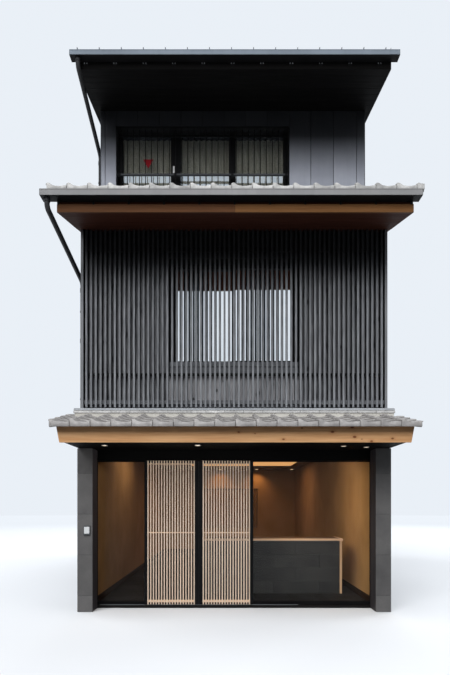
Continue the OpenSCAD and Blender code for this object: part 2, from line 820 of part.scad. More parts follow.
module top_roof_back() {
    color("black") along_x([[ridge_y, top_under(ridge_y)], [top_back_y, top_under(top_back_y)],
        [top_back_y, top_surface(top_back_y)], [ridge_y, top_surface(ridge_y)]], -top_half, top_half);
}

// One slope of sheet metal with its standing seams, from the eave at depth y up to the ridge
seam_n = floor(2 * top_half / seam_pitch) + 1;
seam_span = (seam_n - 1) * seam_pitch;
seam_line = concat([[-top_half, 0], [-top_half, sheet_t]],
    [for (i = [0 : seam_n - 1]) let (x = i * seam_pitch - seam_span / 2 + seam_shift) each [
        [x - seam_w / 2, sheet_t], [x - seam_w / 2, sheet_t + seam_h],
        [x + seam_w / 2, sheet_t + seam_h], [x + seam_w / 2, sheet_t]]],
    [[top_half, sheet_t], [top_half, 0]]);
sheet_out = 30;

module sheet_slope(run) {
    length = (run + sheet_out) / cos(atan(top_slope)) - seam_h * top_slope - 1;
    rotate([atan(top_slope), 0, 0]) translate([0, length - sheet_out, 0]) rotate([90, 0, 0])
        linear_extrude(height = length) polygon(seam_line);
}

module metal_roof() {
    color("darkgray") {
        translate([0, front_y + top_eave_y, top_surface(top_eave_y) + seat_gap])
            sheet_slope(ridge_y - top_eave_y);
        translate([0, front_y + top_back_y, top_surface(top_back_y) + seat_gap]) mirror([0, 1, 0])
            sheet_slope(top_back_y - ridge_y);
    }
}

module ridge_cap() {
    z = top_surface(ridge_y) + 2 * seat_gap + (sheet_t + seam_h) / cos(atan(top_slope));
    drop = cap_half * top_slope;
    color("darkgray") along_x([[ridge_y - cap_half, z - drop], [ridge_y, z], [ridge_y + cap_half, z - drop],
        [ridge_y + cap_half, z - drop + sheet_t], [ridge_y, z + sheet_t],
        [ridge_y - cap_half, z - drop + sheet_t]], -top_half, top_half);
}

// Gutters: open boxes hung on the face of each eave, in front of the back line y1
module gutter(x0, x1, y1, w, z) {
    y = y1 - w;
    along_x([[y, z], [y1, z], [y1, z + gutter_back_h], [y1 - gutter_t, z + gutter_back_h],
        [y1 - gutter_t, z + gutter_t], [y + gutter_t, z + gutter_t], [y + gutter_t, z + gutter_h],
        [y, z + gutter_h]], x0, x1);
}

mid_gutter_y = fascia_t - eave_out;
mid_gutter_up = mid_fascia_h + 41;
mid_gutter_z = mid_under(-eave_out) + mid_gutter_up;
top_gutter_half = top_half + 100;
top_gutter_up = 98;
top_gutter_z = top_under(top_eave_y) + top_gutter_up;
back_gutter_z = top_under(top_back_y) + top_gutter_up;

module gutters() {
    color("black") {
        gutter(-half_w - gutter_over, half_w + gutter_side_out, mid_gutter_y, mid_gutter_w,
            mid_gutter_z);
        gutter(-top_gutter_half, top_gutter_half, top_eave_y, gutter_w, top_gutter_z);
        translate([0, 2 * (front_y + top_back_y), 0]) mirror([0, 1, 0])
            gutter(-top_gutter_half, top_gutter_half, top_back_y, gutter_w, back_gutter_z);
    }
}

// Downpipes: each drops from its gutter, slants back to the party wall and runs down it
pipe_x = -half_w - pipe_off;
pipe_end_z = 60;
elbow_over = 18;
outlet_drop = 116;
mid_outlet_in = 72;
mid_pipe_y = 400;
mid_drop = 540;
top_outlet_in = 130;
top_drop = 556;
back_drop = 346;
back_pipe_in = 200;

module pipe_run(points) {
    for (i = [0 : len(points) - 2]) {
        a = points[i];
        b = points[i + 1];
        v = b - a;
        translate(a) rotate([0, acos(v[2] / norm(v)), atan2(v[1], v[0])]) cylinder(h = norm(v), d = pipe_d);
        if (i > 0) translate(a) sphere(d = pipe_d + elbow_over);
    }
}

// A downpipe from an outlet at x, y, z to a wall depth, which it meets at a drop below the outlet
module downpipe(x, y, z, wall_depth, drop) {
    pipe_run([[x, y, z], [x, y, z - outlet_drop], [pipe_x, front_y + wall_depth, z - drop],
        [pipe_x, front_y + wall_depth, pipe_end_z]]);
}

module downpipes() {
    color("black") {
        downpipe(-half_w - gutter_over + mid_outlet_in, front_y + mid_gutter_y - mid_gutter_w / 2,
            mid_gutter_z, mid_pipe_y, mid_drop);
        downpipe(-top_gutter_half + top_outlet_in, front_y + top_eave_y - gutter_w / 2, top_gutter_z,
            wall3_back, top_drop);
        downpipe(-top_gutter_half + top_outlet_in, front_y + top_back_y + gutter_w / 2, back_gutter_z,
            house_depth - back_pipe_in, back_drop);
    }
}

ground_slab();
left_wall_lower();
right_wall_lower();
left_wall_upper();
right_wall_upper();
rear_wall();
rear_window_frames();
rear_window_glass();
left_pier();
right_pier();
second_floor();
third_floor();
shop_header();
door_sill();
shop_frame();
shop_glass();
left_leaf_frame();
left_leaf_lattice();
left_leaf_glass();
right_leaf_frame();
right_leaf_lattice();
right_leaf_glass();
entrance_soffit();
downlights();
intercom();
counter_body();
counter_top();
lower_roof_deck();
lower_fascia();
lower_roof_tiles();
lower_ridge_tiles();
front_wall_second();
second_window_frame();
second_window_glass();
board_screen();
lattice();
middle_roof_deck();
middle_fascia();
middle_roof_tiles();
front_wall_third();
third_window_frame();
third_window_glass();
window_grille();
top_roof_front();
top_roof_back();
metal_roof();
ridge_cap();
gutters();
downpipes();
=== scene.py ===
import json
import math
import random

import bpy
from mathutils import Matrix, Vector

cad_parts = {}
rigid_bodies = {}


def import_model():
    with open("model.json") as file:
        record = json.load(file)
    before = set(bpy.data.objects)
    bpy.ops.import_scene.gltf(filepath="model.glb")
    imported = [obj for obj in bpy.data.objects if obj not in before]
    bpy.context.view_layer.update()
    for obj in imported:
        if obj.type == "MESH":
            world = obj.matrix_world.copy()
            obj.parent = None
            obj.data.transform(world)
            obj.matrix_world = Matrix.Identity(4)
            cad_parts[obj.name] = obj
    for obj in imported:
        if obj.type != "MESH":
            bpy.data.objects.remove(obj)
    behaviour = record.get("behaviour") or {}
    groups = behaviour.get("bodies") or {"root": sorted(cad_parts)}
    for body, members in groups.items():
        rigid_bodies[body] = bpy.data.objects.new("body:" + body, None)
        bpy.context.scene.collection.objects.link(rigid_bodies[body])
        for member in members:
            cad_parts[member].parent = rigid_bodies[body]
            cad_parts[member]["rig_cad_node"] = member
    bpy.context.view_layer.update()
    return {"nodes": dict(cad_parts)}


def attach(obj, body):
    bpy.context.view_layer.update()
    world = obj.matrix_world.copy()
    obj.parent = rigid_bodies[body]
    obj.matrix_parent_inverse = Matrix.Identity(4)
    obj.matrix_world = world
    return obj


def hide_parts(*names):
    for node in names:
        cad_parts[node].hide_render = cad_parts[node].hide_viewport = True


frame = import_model()
chance = random.Random(7)


# Stage: a pale floor under even daylight that comes mostly from the street side.
# The camera stands in the middle of the street at eye height, with its lens shifted up.
STREET_Y = -4.55


def depth(d):
    """Y of a depth that is measured back from the street line, the front of the two piers"""
    return STREET_Y + d


def tint(red, green, blue):
    """A paint colour from its screen values, 0 to 255"""
    return tuple((v / 255 / 12.92 if v < 10.3 else ((v / 255 + 0.055) / 1.055) ** 2.4)
                 for v in (red, green, blue)) + (1.0,)


def node(paint, kind, feeds=None, **settings):
    """Adds a shader node; each feed is another node's output or a fixed value"""
    made = paint.node_tree.nodes.new("ShaderNode" + kind)
    for name, value in settings.items():
        setattr(made, name, value)
    for name, value in (feeds or {}).items():
        if isinstance(value, bpy.types.NodeSocket):
            paint.node_tree.links.new(value, made.inputs[name])
        else:
            made.inputs[name].default_value = value
    return made


def new_paint(name):
    paint = bpy.data.materials.new(name)
    paint.use_nodes = True
    paint.node_tree.nodes.clear()
    return paint


def surface(paint, feeds):
    """Closes a material with its surface shader"""
    shader = node(paint, "BsdfPrincipled", feeds)
    node(paint, "OutputMaterial", {"Surface": shader.outputs[0]})
    return paint


def blend(paint, share, first, second, mode="MIX"):
    """A mix of two colours"""
    made = node(paint, "Mix", {0: share, 6: first, 7: second}, data_type="RGBA", blend_type=mode)
    return made.outputs[2]


def maths(paint, first, second, operation, **settings):
    return node(paint, "Math", {0: first, 1: second}, operation=operation, **settings).outputs[0]


def seen_rays(paint):
    """1 for rays that come from the camera, a mirror or glass, and 0 for diffuse light"""
    path = node(paint, "LightPath").outputs
    total = maths(paint, path["Is Camera Ray"], path["Is Glossy Ray"], "ADD")
    return maths(paint, total, path["Is Transmission Ray"], "ADD", use_clamp=True)


PALE_SKY = (0.82, 0.87, 0.93, 1)
SKY_LIGHT = (0.14, 0.15, 0.165, 1)
sky = bpy.data.worlds.new("pale_sky")
bpy.context.scene.world = sky
sky.use_nodes = True
sky.node_tree.nodes.clear()
sky_colour = blend(sky, seen_rays(sky), SKY_LIGHT, PALE_SKY)
sky_shader = node(sky, "Background", {"Color": sky_colour, "Strength": 1.0})
node(sky, "OutputWorld", {"Surface": sky_shader.outputs[0]})

FLOOR_RADIUS, PLAIN_RADIUS, FADE_FROM, FADE_TO = 70, 12, 9.0, 34.0
bpy.ops.object.select_all(action="DESELECT")
bpy.ops.mesh.primitive_circle_add(vertices=96, radius=FLOOR_RADIUS, fill_type="NGON",
                                  location=(0, 0, -0.002))
floor = bpy.context.object
floor.name = "floor"
bpy.ops.object.mode_set(mode="EDIT")
bpy.ops.mesh.inset(thickness=FLOOR_RADIUS - PLAIN_RADIUS)
bpy.ops.object.mode_set(mode="OBJECT")
floor_paint = new_paint("pale_floor")
floor_tone = node(floor_paint, "TexNoise", {"Scale": 3.0, "Detail": 3.0}).outputs["Fac"]
floor_pale = blend(floor_paint, floor_tone, (0.74, 0.76, 0.79, 1), (0.78, 0.80, 0.83, 1))
from_middle = node(floor_paint, "VectorMath", {0: node(floor_paint, "TexCoord").outputs["Object"]},
                   operation="LENGTH").outputs["Value"]
fade = node(floor_paint, "MapRange", {"Value": from_middle, "From Min": FADE_FROM, "From Max": FADE_TO},
            interpolation_type="SMOOTHSTEP").outputs[0]
seen = seen_rays(floor_paint)
floor_seen = blend(floor_paint, fade, floor_pale, (0, 0, 0, 1))
surface(floor_paint, {"Base Color": blend(floor_paint, seen, (0.10, 0.10, 0.10, 1), floor_seen),
                      "Roughness": 0.9, "Specular IOR Level": 0.1, "Emission Color": PALE_SKY,
                      "Emission Strength": maths(floor_paint, fade, seen, "MULTIPLY")})
floor.data.materials.append(floor_paint)


def soft_light(name, place, aim, size, power, colour=(1, 1, 1)):
    """A rectangular lamp that points from its place at its aim"""
    bpy.ops.object.light_add(type="AREA", location=place)
    lamp = bpy.context.object
    lamp.name = name
    lamp.data.shape = "RECTANGLE"
    lamp.data.size, lamp.data.size_y = size
    lamp.data.energy = power
    lamp.data.color = colour
    lamp.rotation_euler = (Vector(aim) - Vector(place)).to_track_quat("-Z", "Y").to_euler()
    lamp.visible_camera = False
    lamp.visible_glossy = False


soft_light("street_light", (-12.0, -42.6, 28.4), (0, -4, 5.0), (44, 28.5), 24500, (1.0, 0.995, 0.985))
soft_light("high_light", (-3.0, -16.0, 34.0), (0, -2, 6.0), (24, 14), 5500, (0.96, 0.98, 1.0))
soft_light("back_light", (9.0, 40.0, 25.0), (0, 2, 4.5), (40, 21), 15000, (0.97, 0.99, 1.0))
soft_light("right_light", (36.0, 20.0, 22.0), (2.3, 1, 4.5), (20, 16), 8000, (0.98, 0.99, 1.0))
soft_light("left_light", (-36.0, 20.0, 22.0), (-2.3, 1, 4.5), (20, 16), 6000, (0.98, 0.99, 1.0))

EYE_X, EYE_AWAY, EYE_Z = -0.135, 7.40, 1.57
bpy.ops.object.camera_add(location=(EYE_X, depth(-EYE_AWAY), EYE_Z), rotation=(math.radians(90), 0, 0))
camera = bpy.context.object
camera.data.lens = 26.93
camera.data.sensor_width = 36
camera.data.shift_y = 0.248
bpy.context.scene.camera = camera
bpy.context.scene.view_settings.view_transform = "Standard"


# Shop floor and ceiling: honed stone tiles laid on the ground slab with narrow joints, dark
# skirting boards, plastered walls, and a lined ceiling with one warm light panel let into it.
HALF_W, INNER_HALF, LINED_HALF = 2.280, 2.130, 2.120
ROOM_D0, ROOM_D1, FLOOR_Z = 0.460, 8.940, 0.046


def alone(piece):
    """Selects one piece and nothing else"""
    bpy.ops.object.select_all(action="DESELECT")
    piece.select_set(True)
    bpy.context.view_layer.objects.active = piece
    return piece


def slab(name, low, high, edge=0.003, segments=1):
    """A board, slab or bar between two corners, with its edges eased"""
    low, high = zip(*[sorted(pair) for pair in zip(low, high)])
    bpy.ops.object.select_all(action="DESELECT")
    bpy.ops.mesh.primitive_cube_add(size=1)
    made = bpy.context.object
    made.name = name
    made.scale = [b - a for a, b in zip(low, high)]
    made.location = [(a + b) / 2 for a, b in zip(low, high)]
    bpy.ops.object.transform_apply(location=True, rotation=True, scale=True)
    bpy.ops.object.mode_set(mode="EDIT")
    bpy.ops.mesh.bevel(offset=edge, segments=segments, affect="EDGES")
    bpy.ops.object.mode_set(mode="OBJECT")
    return made


def joined(name, parts):
    """Joins pieces into one"""
    alone(parts[0])
    for part in parts:
        part.select_set(True)
    if len(parts) > 1:
        bpy.ops.object.join()
    parts[0].name = parts[0].data.name = name
    return parts[0]


def copies(name, piece, places):
    """Sets out copies of a piece, each with its own mesh, and joins them"""
    made = []
    for place in places:
        copy = piece.copy()
        copy.data = piece.data.copy()
        copy.data.transform(place if isinstance(place, Matrix) else Matrix.Translation(place))
        bpy.context.scene.collection.objects.link(copy)
        made.append(copy)
    bpy.data.objects.remove(piece)
    return joined(name, made)


def painted(piece, *paints):
    """Gives a piece its materials"""
    piece.data.materials.clear()
    for paint in paints:
        piece.data.materials.append(paint)
    return piece


def fixed(piece, node_name=None, body="house"):
    """Fixes a piece to a body, and puts it in the place of the node that it shows"""
    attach(piece, body)
    if node_name:
        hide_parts(node_name)
    return piece


def eased(piece, width, segments=2, angle=35):
    """Eases the sharp edges of a piece; a frame node's loose triangles are welded first"""
    alone(piece)
    weld = piece.modifiers.new("weld", "WELD")
    weld.merge_threshold = 0.0001
    bevel = piece.modifiers.new("edges", "BEVEL")
    bevel.width = width
    bevel.segments = segments
    bevel.limit_method = "ANGLE"
    bevel.angle_limit = math.radians(angle)
    if "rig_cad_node" not in piece:
        bpy.ops.object.modifier_apply(modifier=weld.name)
        bpy.ops.object.modifier_apply(modifier=bevel.name)
    return piece


def island(paint):
    """A number from 0 to 1 for each loose board or tile of a piece"""
    return node(paint, "NewGeometry").outputs["Random Per Island"]


def spot(paint, scale=(1, 1, 1), apart=0.0):
    """Object coordinates times scale, with each loose board or tile shifted on its own"""
    place = node(paint, "TexCoord").outputs["Object"]
    if apart:
        shift = node(paint, "VectorMath", {0: (73 * apart, 31 * apart, 57 * apart), "Scale": island(paint)},
                     operation="SCALE").outputs[0]
        place = node(paint, "VectorMath", {0: place, 1: shift}, operation="ADD").outputs[0]
    return node(paint, "Mapping", {"Vector": place, "Scale": scale}).outputs[0]


def cloud(paint, place, patch, detail=4.0, rough=0.55):
    """A soft random pattern with patches of that size in metres"""
    return node(paint, "TexNoise", {"Vector": place, "Scale": 1 / patch, "Detail": detail,
                                    "Roughness": rough}).outputs["Fac"]


def between(paint, value, low, high, least=0.0, most=1.0):
    """Maps a value from low..high to least..most"""
    return node(paint, "MapRange", {"Value": value, "From Min": low, "From Max": high, "To Min": least,
                                    "To Max": most}).outputs[0]


def bump(paint, height, deep, strength=1.0, normal=None):
    """Relief of that depth in metres"""
    feeds = {"Height": height, "Distance": deep, "Strength": strength}
    if normal:
        feeds["Normal"] = normal
    return node(paint, "Bump", feeds).outputs[0]


def shaded(paint, colour, share):
    """Multiplies a colour by a share"""
    tone = node(paint, "CombineColor", {0: share, 1: share, 2: share}).outputs[0]
    return blend(paint, 1.0, colour, tone, "MULTIPLY")


def varied(paint, colour, least, most):
    """Lets each loose board, tile or sheet of a piece have a tone of its own"""
    return shaded(paint, colour, between(paint, island(paint), 0, 1, least, most))


def stone(name, light, dark, cleft, roughness=0.62):
    """Slate or other stone: patches of tone, fine grain, and a cleft surface"""
    paint = new_paint(name)
    place = spot(paint, apart=1.0)
    patches = between(paint, cloud(paint, place, 0.35, 5), 0.3, 0.7)
    grain = between(paint, cloud(paint, place, 0.012, 3), 0.3, 0.7)
    colour = blend(paint, patches, dark, light)
    colour = blend(paint, between(paint, grain, 0, 1, 0, 0.35), colour, dark)
    layers = cloud(paint, spot(paint, (3, 3, 9), 1.0), 0.5, 6, 0.6)
    relief = bump(paint, grain, 0.0002, 0.6, bump(paint, layers, cleft))
    return surface(paint, {"Base Color": varied(paint, colour, 0.80, 1.12), "Normal": relief,
                           "Roughness": between(paint, patches, 0, 1, roughness, roughness + 0.14),
                           "Specular IOR Level": 0.25})


FLOOR_TILE, FLOOR_TILE_T, TILE_GAP = 0.6057, 0.006, 0.002
floor_stone = stone("floor_stone", tint(34, 32, 30), tint(22, 21, 20), 0.0008, 0.55)
tile_low = (-LINED_HALF, depth(ROOM_D0 - 0.008), FLOOR_Z - FLOOR_TILE_T)
tile_size = (FLOOR_TILE - TILE_GAP, FLOOR_TILE - TILE_GAP, FLOOR_TILE_T)
one = slab("floor_tile", tile_low, [a + b for a, b in zip(tile_low, tile_size)], 0.0015)
floor_tiles = copies("floor_tiles", one, [
    (FLOOR_TILE * i, FLOOR_TILE * k, 0) for i in range(7) for k in range(14)])
fixed(painted(floor_tiles, floor_stone))
painted(frame["nodes"]["ground_slab"], floor_stone)


def painted_eave_shade(paint, colour, low, high, least):
    """Painted shade under an eave: the colour darkens from one height up to another"""
    height = node(paint, "SeparateXYZ", {0: spot(paint)}).outputs["Z"]
    return shaded(paint, colour, between(paint, height, low, high, 1.0, least))


def drawn_out(axis, share):
    """The scale of a pattern that is drawn out along one axis"""
    scale = [1.0, 1.0, 1.0]
    scale[axis] = share
    return scale


def board_wood(name, light, dark, grain_axis, knots=0.0, knot_colour=(0.1, 0.04, 0.02, 1), streak=0.5,
               ring=0.022, roughness=0.55, tones=0.12, relief=0.0006, gloss=0.3, eave_shade=None):
    """Sawn wood with its grain along one axis: growth rings, fine fibres, knots, and boards that differ"""
    paint = new_paint(name)
    place = spot(paint, drawn_out(grain_axis, 0.045), 1.0)
    warp = node(paint, "TexNoise", {"Vector": place, "Scale": 9.0, "Detail": 2.0}).outputs["Color"]
    bent = node(paint, "VectorMath", {0: warp, "Scale": 0.02}, operation="SCALE").outputs[0]
    bent = node(paint, "VectorMath", {0: place, 1: bent}, operation="ADD").outputs[0]
    rings = between(paint, cloud(paint, bent, ring, 3, 0.5), 0.34, 0.66)
    fibres = cloud(paint, spot(paint, drawn_out(grain_axis, 0.02), 1.0), 0.0035, 3, 0.6)
    wide = cloud(paint, place, 0.16, 2)
    colour = blend(paint, between(paint, rings, 0, 1, 0, streak), light, dark)
    colour = blend(paint, between(paint, fibres, 0.35, 0.7, 0, 0.30), colour, dark)
    colour = blend(paint, between(paint, wide, 0.35, 0.65, 0, 0.28), colour, dark)
    if knots:
        axes = node(paint, "SeparateXYZ", {0: spot(paint, drawn_out(grain_axis, 0.6), 1.0)}).outputs
        across = axes[0 if grain_axis == 2 else 2]
        face = node(paint, "CombineXYZ", {0: axes[grain_axis], 1: across}).outputs[0]
        cells = node(paint, "TexVoronoi", {"Vector": face, "Scale": 1 / knots, "Randomness": 1.0},
                     voronoi_dimensions="2D").outputs
        cell_number = node(paint, "SeparateColor", {0: cells["Color"]}).outputs[0]
        size = between(paint, cell_number, 0, 1, 0.03, 0.12)
        ratio = maths(paint, cells["Distance"], size, "DIVIDE")
        colour = blend(paint, between(paint, ratio, 1.0, 3.0, 0.5, 0), colour, dark)
        colour = blend(paint, between(paint, ratio, 0.7, 1.15, 1, 0), colour, knot_colour)
    colour = varied(paint, colour, 1 - tones, 1 + tones)
    # Painted shade: darker towards the eave above
    if eave_shade:
        colour = painted_eave_shade(paint, colour, *eave_shade)
    lines = bump(paint, rings, relief, 0.5, bump(paint, fibres, relief))
    return surface(paint, {"Base Color": colour, "Normal": lines, "Specular IOR Level": gloss,
                           "Roughness": between(paint, rings, 0, 1, roughness, roughness + 0.12)})


SKIRTING_T, SKIRTING_Z = 0.012, 0.150
skirting = joined("skirting_boards", [
    slab("board", (s * INNER_HALF, depth(ROOM_D0), FLOOR_Z),
         (s * (INNER_HALF - SKIRTING_T), depth(ROOM_D1), SKIRTING_Z), 0.002) for s in (-1, 1)] + [
    slab("board", (-LINED_HALF + 0.003, depth(ROOM_D1 - 0.002), FLOOR_Z),
         (LINED_HALF - 0.003, depth(ROOM_D1 + 0.010), SKIRTING_Z), 0.002)])
fixed(painted(skirting, board_wood("skirting_wood", tint(58, 44, 36), tint(34, 26, 22), 1, roughness=0.6,
                                   gloss=0.1)))


def plaster(name, light, dark):
    """Trowelled earth plaster: broad clouds of tone, straw-fine grain, and shallow trowel marks"""
    paint = new_paint(name)
    place = spot(paint)
    broad = between(paint, cloud(paint, place, 0.6, 5), 0.3, 0.7)
    grain = cloud(paint, place, 0.006, 3)
    trowel = cloud(paint, spot(paint, (1, 1.7, 3.2)), 0.22, 4, 0.65)
    colour = blend(paint, broad, dark, light)
    colour = blend(paint, between(paint, grain, 0.4, 0.7, 0, 0.2), colour, dark)
    relief = bump(paint, grain, 0.0007, 0.7, bump(paint, trowel, 0.0015, 0.6))
    return surface(paint, {"Base Color": colour, "Roughness": 0.88, "Specular IOR Level": 0.2,
                           "Normal": relief})


ochre_plaster = plaster("ochre_plaster", tint(178, 140, 94), tint(152, 116, 74))
for name in ("left_wall_lower", "right_wall_lower", "left_wall_upper", "right_wall_upper", "rear_wall"):
    painted(frame["nodes"][name], ochre_plaster)

CEILING_Z, LINING_T = 2.700, 0.012
PANEL_X0, PANEL_X1, PANEL_D0, PANEL_D1 = -1.10, 1.75, 5.60, 7.10
ceiling = joined("shop_ceiling", [
    slab("board", (x0, depth(d0), CEILING_Z - LINING_T), (x1, depth(d1), CEILING_Z)) for x0, x1, d0, d1 in (
        (-LINED_HALF, LINED_HALF, ROOM_D0, PANEL_D0), (-LINED_HALF, LINED_HALF, PANEL_D1, ROOM_D1),
        (-LINED_HALF, PANEL_X0, PANEL_D0, PANEL_D1), (PANEL_X1, LINED_HALF, PANEL_D0, PANEL_D1))])
fixed(painted(ceiling, plaster("ceiling_plaster", tint(150, 128, 100), tint(128, 106, 80))))


def glow(name, colour, strength, shade):
    """A lit lamp cover, brighter in its middle patches than at its rim"""
    paint = new_paint(name)
    patch = between(paint, cloud(paint, spot(paint), 0.05, 2), 0.3, 0.7, 0.9, 1.0)
    warm = blend(paint, patch, shade, colour)
    return surface(paint, {"Base Color": warm, "Roughness": 0.5, "Emission Color": warm,
                           "Emission Strength": strength})


light_panel = slab("ceiling_light_panel", (PANEL_X0, depth(PANEL_D0), CEILING_Z - 0.008),
                   (PANEL_X1, depth(PANEL_D1), CEILING_Z - 0.002), 0.002)
fixed(painted(light_panel, glow("panel_glow", tint(226, 168, 104), 0.9, tint(206, 146, 84))))
soft_light("panel_lamp", (0.3, depth(6.3), 2.66), (0.3, depth(6.3), 0), (2.6, 1.3), 16, (1.0, 0.72, 0.46))
soft_light("counter_lamp", (0.9, depth(1.2), 1.90), (2.13, depth(2.2), 0.8), (0.7, 0.7), 14,
           (1.0, 0.80, 0.55))
soft_light("left_lamp", (-1.6, depth(2.6), 2.62), (-1.6, depth(2.6), 0), (0.4, 1.6), 9, (1.0, 0.78, 0.54))

floor_boards = board_wood("floor_boards", tint(176, 138, 96), tint(140, 102, 66), 0, roughness=0.4)
for name in ("second_floor", "third_floor"):
    painted(frame["nodes"][name], floor_boards)


# Outside of the party walls and the rear wall: roll-formed steel siding in blue-grey paint, each
# sheet hooked over the rib of the one before and screwed to the wall, with folded corner trims.
LOW_Z, WALL_TOP_Z = 6.03, 8.37
SETBACK, HOUSE_DEPTH, RIDGE_D = 1.32, 9.10, 5.21
MID_SLOPE, TOP_SLOPE = 0.30, 0.18


def top_under(d):
    """Underside of the top roof at a depth"""
    return WALL_TOP_Z + TOP_SLOPE * (d - SETBACK if d < RIDGE_D else HOUSE_DEPTH - d)


def roof_under(d):
    """Underside of the roof over a party wall at a depth: the middle one in front of the setback"""
    return LOW_Z - MID_SLOPE * (SETBACK - d) if d < SETBACK else top_under(d)


def steps(start, end, n):
    return [start + (end - start) * i / n for i in range(n + 1)]


def drawn_line(name, spots):
    """A line drawn from point to point, and left in edit mode"""
    bpy.ops.object.select_all(action="DESELECT")
    bpy.ops.mesh.primitive_plane_add(size=0.01)
    made = bpy.context.object
    made.name = name
    bpy.ops.object.mode_set(mode="EDIT")
    bpy.ops.mesh.select_mode(type="VERT")
    bpy.ops.mesh.select_all(action="SELECT")
    bpy.ops.mesh.merge(type="CENTER")
    bpy.ops.transform.translate(value=spots[0])
    for a, b in zip(spots, spots[1:]):
        bpy.ops.mesh.extrude_vertices_move(TRANSFORM_OT_translate={"value": b - a})
    return made


def outline_piece(name, outline, axis, start, end):
    """A piece whose outline is drawn point by point in one plane, filled, and extruded along an axis"""
    spots, run = [], [0, 0, 0]
    for point in outline:
        place = list(point)
        place.insert(axis, start)
        spots.append(Vector(place))
    run[axis] = end - start
    made = drawn_line(name, spots)
    bpy.ops.mesh.select_all(action="SELECT")
    bpy.ops.mesh.edge_face_add()
    bpy.ops.mesh.extrude_region_move(TRANSFORM_OT_translate={"value": run})
    bpy.ops.mesh.select_all(action="SELECT")
    bpy.ops.mesh.normals_make_consistent(inside=False)
    bpy.ops.object.mode_set(mode="OBJECT")
    return made


def cut_off(piece, point, normal):
    """Cuts away what lies beyond a plane and closes the cut"""
    alone(piece)
    bpy.ops.object.mode_set(mode="EDIT")
    bpy.ops.mesh.select_all(action="SELECT")
    bpy.ops.mesh.bisect(plane_co=point, plane_no=normal, use_fill=True, clear_outer=True)
    bpy.ops.object.mode_set(mode="OBJECT")
    return piece


def mirrored(name, piece):
    """A mirror image of a piece on the other side of the house, with its faces turned right again"""
    copy = piece.copy()
    copy.data = piece.data.copy()
    copy.data.transform(Matrix.Scale(-1, 4, (1, 0, 0)))
    bpy.context.scene.collection.objects.link(copy)
    copy.name = copy.data.name = name
    alone(copy)
    bpy.ops.object.mode_set(mode="EDIT")
    bpy.ops.mesh.select_all(action="SELECT")
    bpy.ops.mesh.normals_make_consistent(inside=False)
    bpy.ops.object.mode_set(mode="OBJECT")
    return copy


def sheet_steel(name, light, dark, streaks=0.35, roughness=0.46, relief=0.0012, metallic=0.0, gloss=0.25,
                eave_shade=None):
    """Painted sheet steel: sheets that differ a little, rain streaks, dust, and slight waves"""
    paint = new_paint(name)
    place = spot(paint, apart=0.4)
    broad = between(paint, cloud(paint, place, 0.9, 4), 0.3, 0.7)
    rain = between(paint, cloud(paint, spot(paint, (1, 1, 0.05), 0.4), 0.05, 4, 0.65), 0.42, 0.72)
    dust = between(paint, cloud(paint, place, 0.004, 2), 0.35, 0.75, 0, 0.22)
    colour = blend(paint, broad, dark, light)
    colour = blend(paint, between(paint, rain, 0, 1, 0, streaks), colour, dark)
    colour = varied(paint, blend(paint, dust, colour, light), 0.92, 1.06)
    # Painted shade: darker towards the eave above
    if eave_shade:
        colour = painted_eave_shade(paint, colour, *eave_shade)
    waves = bump(paint, cloud(paint, spot(paint, (1, 1, 0.5), 0.4), 0.35, 2), relief)
    waves = bump(paint, dust, 0.00015, 0.5, waves)
    return surface(paint, {"Base Color": colour, "Normal": waves, "Metallic": metallic,
                           "Roughness": between(paint, rain, 0, 1, roughness, roughness + 0.16),
                           "Specular IOR Level": gloss})


SHEET_W, SHEET_Z0 = 0.3830, 0.02
RIB = [(0, 0), (0, 0.004), (0.348, 0.004), (0.353, 0.016), (0.369, 0.016), (0.374, 0.004), (0.382, 0.004),
       (0.382, 0)]
sheets = []
for first, last, n in ((0.292, SETBACK, 3), (SETBACK, HOUSE_DEPTH - 0.002, 20)):
    for a, b in zip(steps(first, last, n), steps(first, last, n)[1:]):
        outline = [(HALF_W + v, depth(a + u * (b - a) / SHEET_W)) for u, v in RIB]
        mid = (a + b) / 2
        slope = (roof_under(mid + 0.01) - roof_under(mid - 0.01)) / 0.02
        sheets.append(cut_off(outline_piece("sheet", outline, 2, SHEET_Z0, 9.3),
                              (0, depth(mid), roof_under(mid) - 0.004), (0, -slope, 1)))
right_siding = joined("right_siding", sheets)
left_siding = mirrored("left_siding", right_siding)

REAR_Y, REAR_SPLIT = 4.55, 0.905
WINDOW_HALF, WINDOW_SILLS, WINDOW_H, WINDOW_TRIM = 0.85, (0.94, 3.85, 6.93), 1.10, 0.045
side_columns = [(REAR_SPLIT + i * 0.3437, 0.3437) for i in range(4)]
middle_columns = [(-REAR_SPLIT + i * 0.362, 0.362) for i in range(5)]
trim_bands = [(sill - WINDOW_TRIM, sill + WINDOW_H + WINDOW_TRIM) for sill in WINDOW_SILLS]
sheets = []
for x0, w in side_columns + [(-x - w, w) for x, w in side_columns] + middle_columns:
    edges = [SHEET_Z0, 9.0]
    if abs(x0 + w / 2) < REAR_SPLIT:
        edges[1:1] = [z for band in trim_bands for z in band]
    outline = [(x0 + u * w / SHEET_W, REAR_Y + v) for u, v in RIB]
    for z0, z1 in zip(edges[0::2], edges[1::2]):
        sheets.append(outline_piece("sheet", outline, 2, z0, min(z1, WALL_TOP_Z - 0.004)))
rear_siding = joined("rear_siding", sheets)

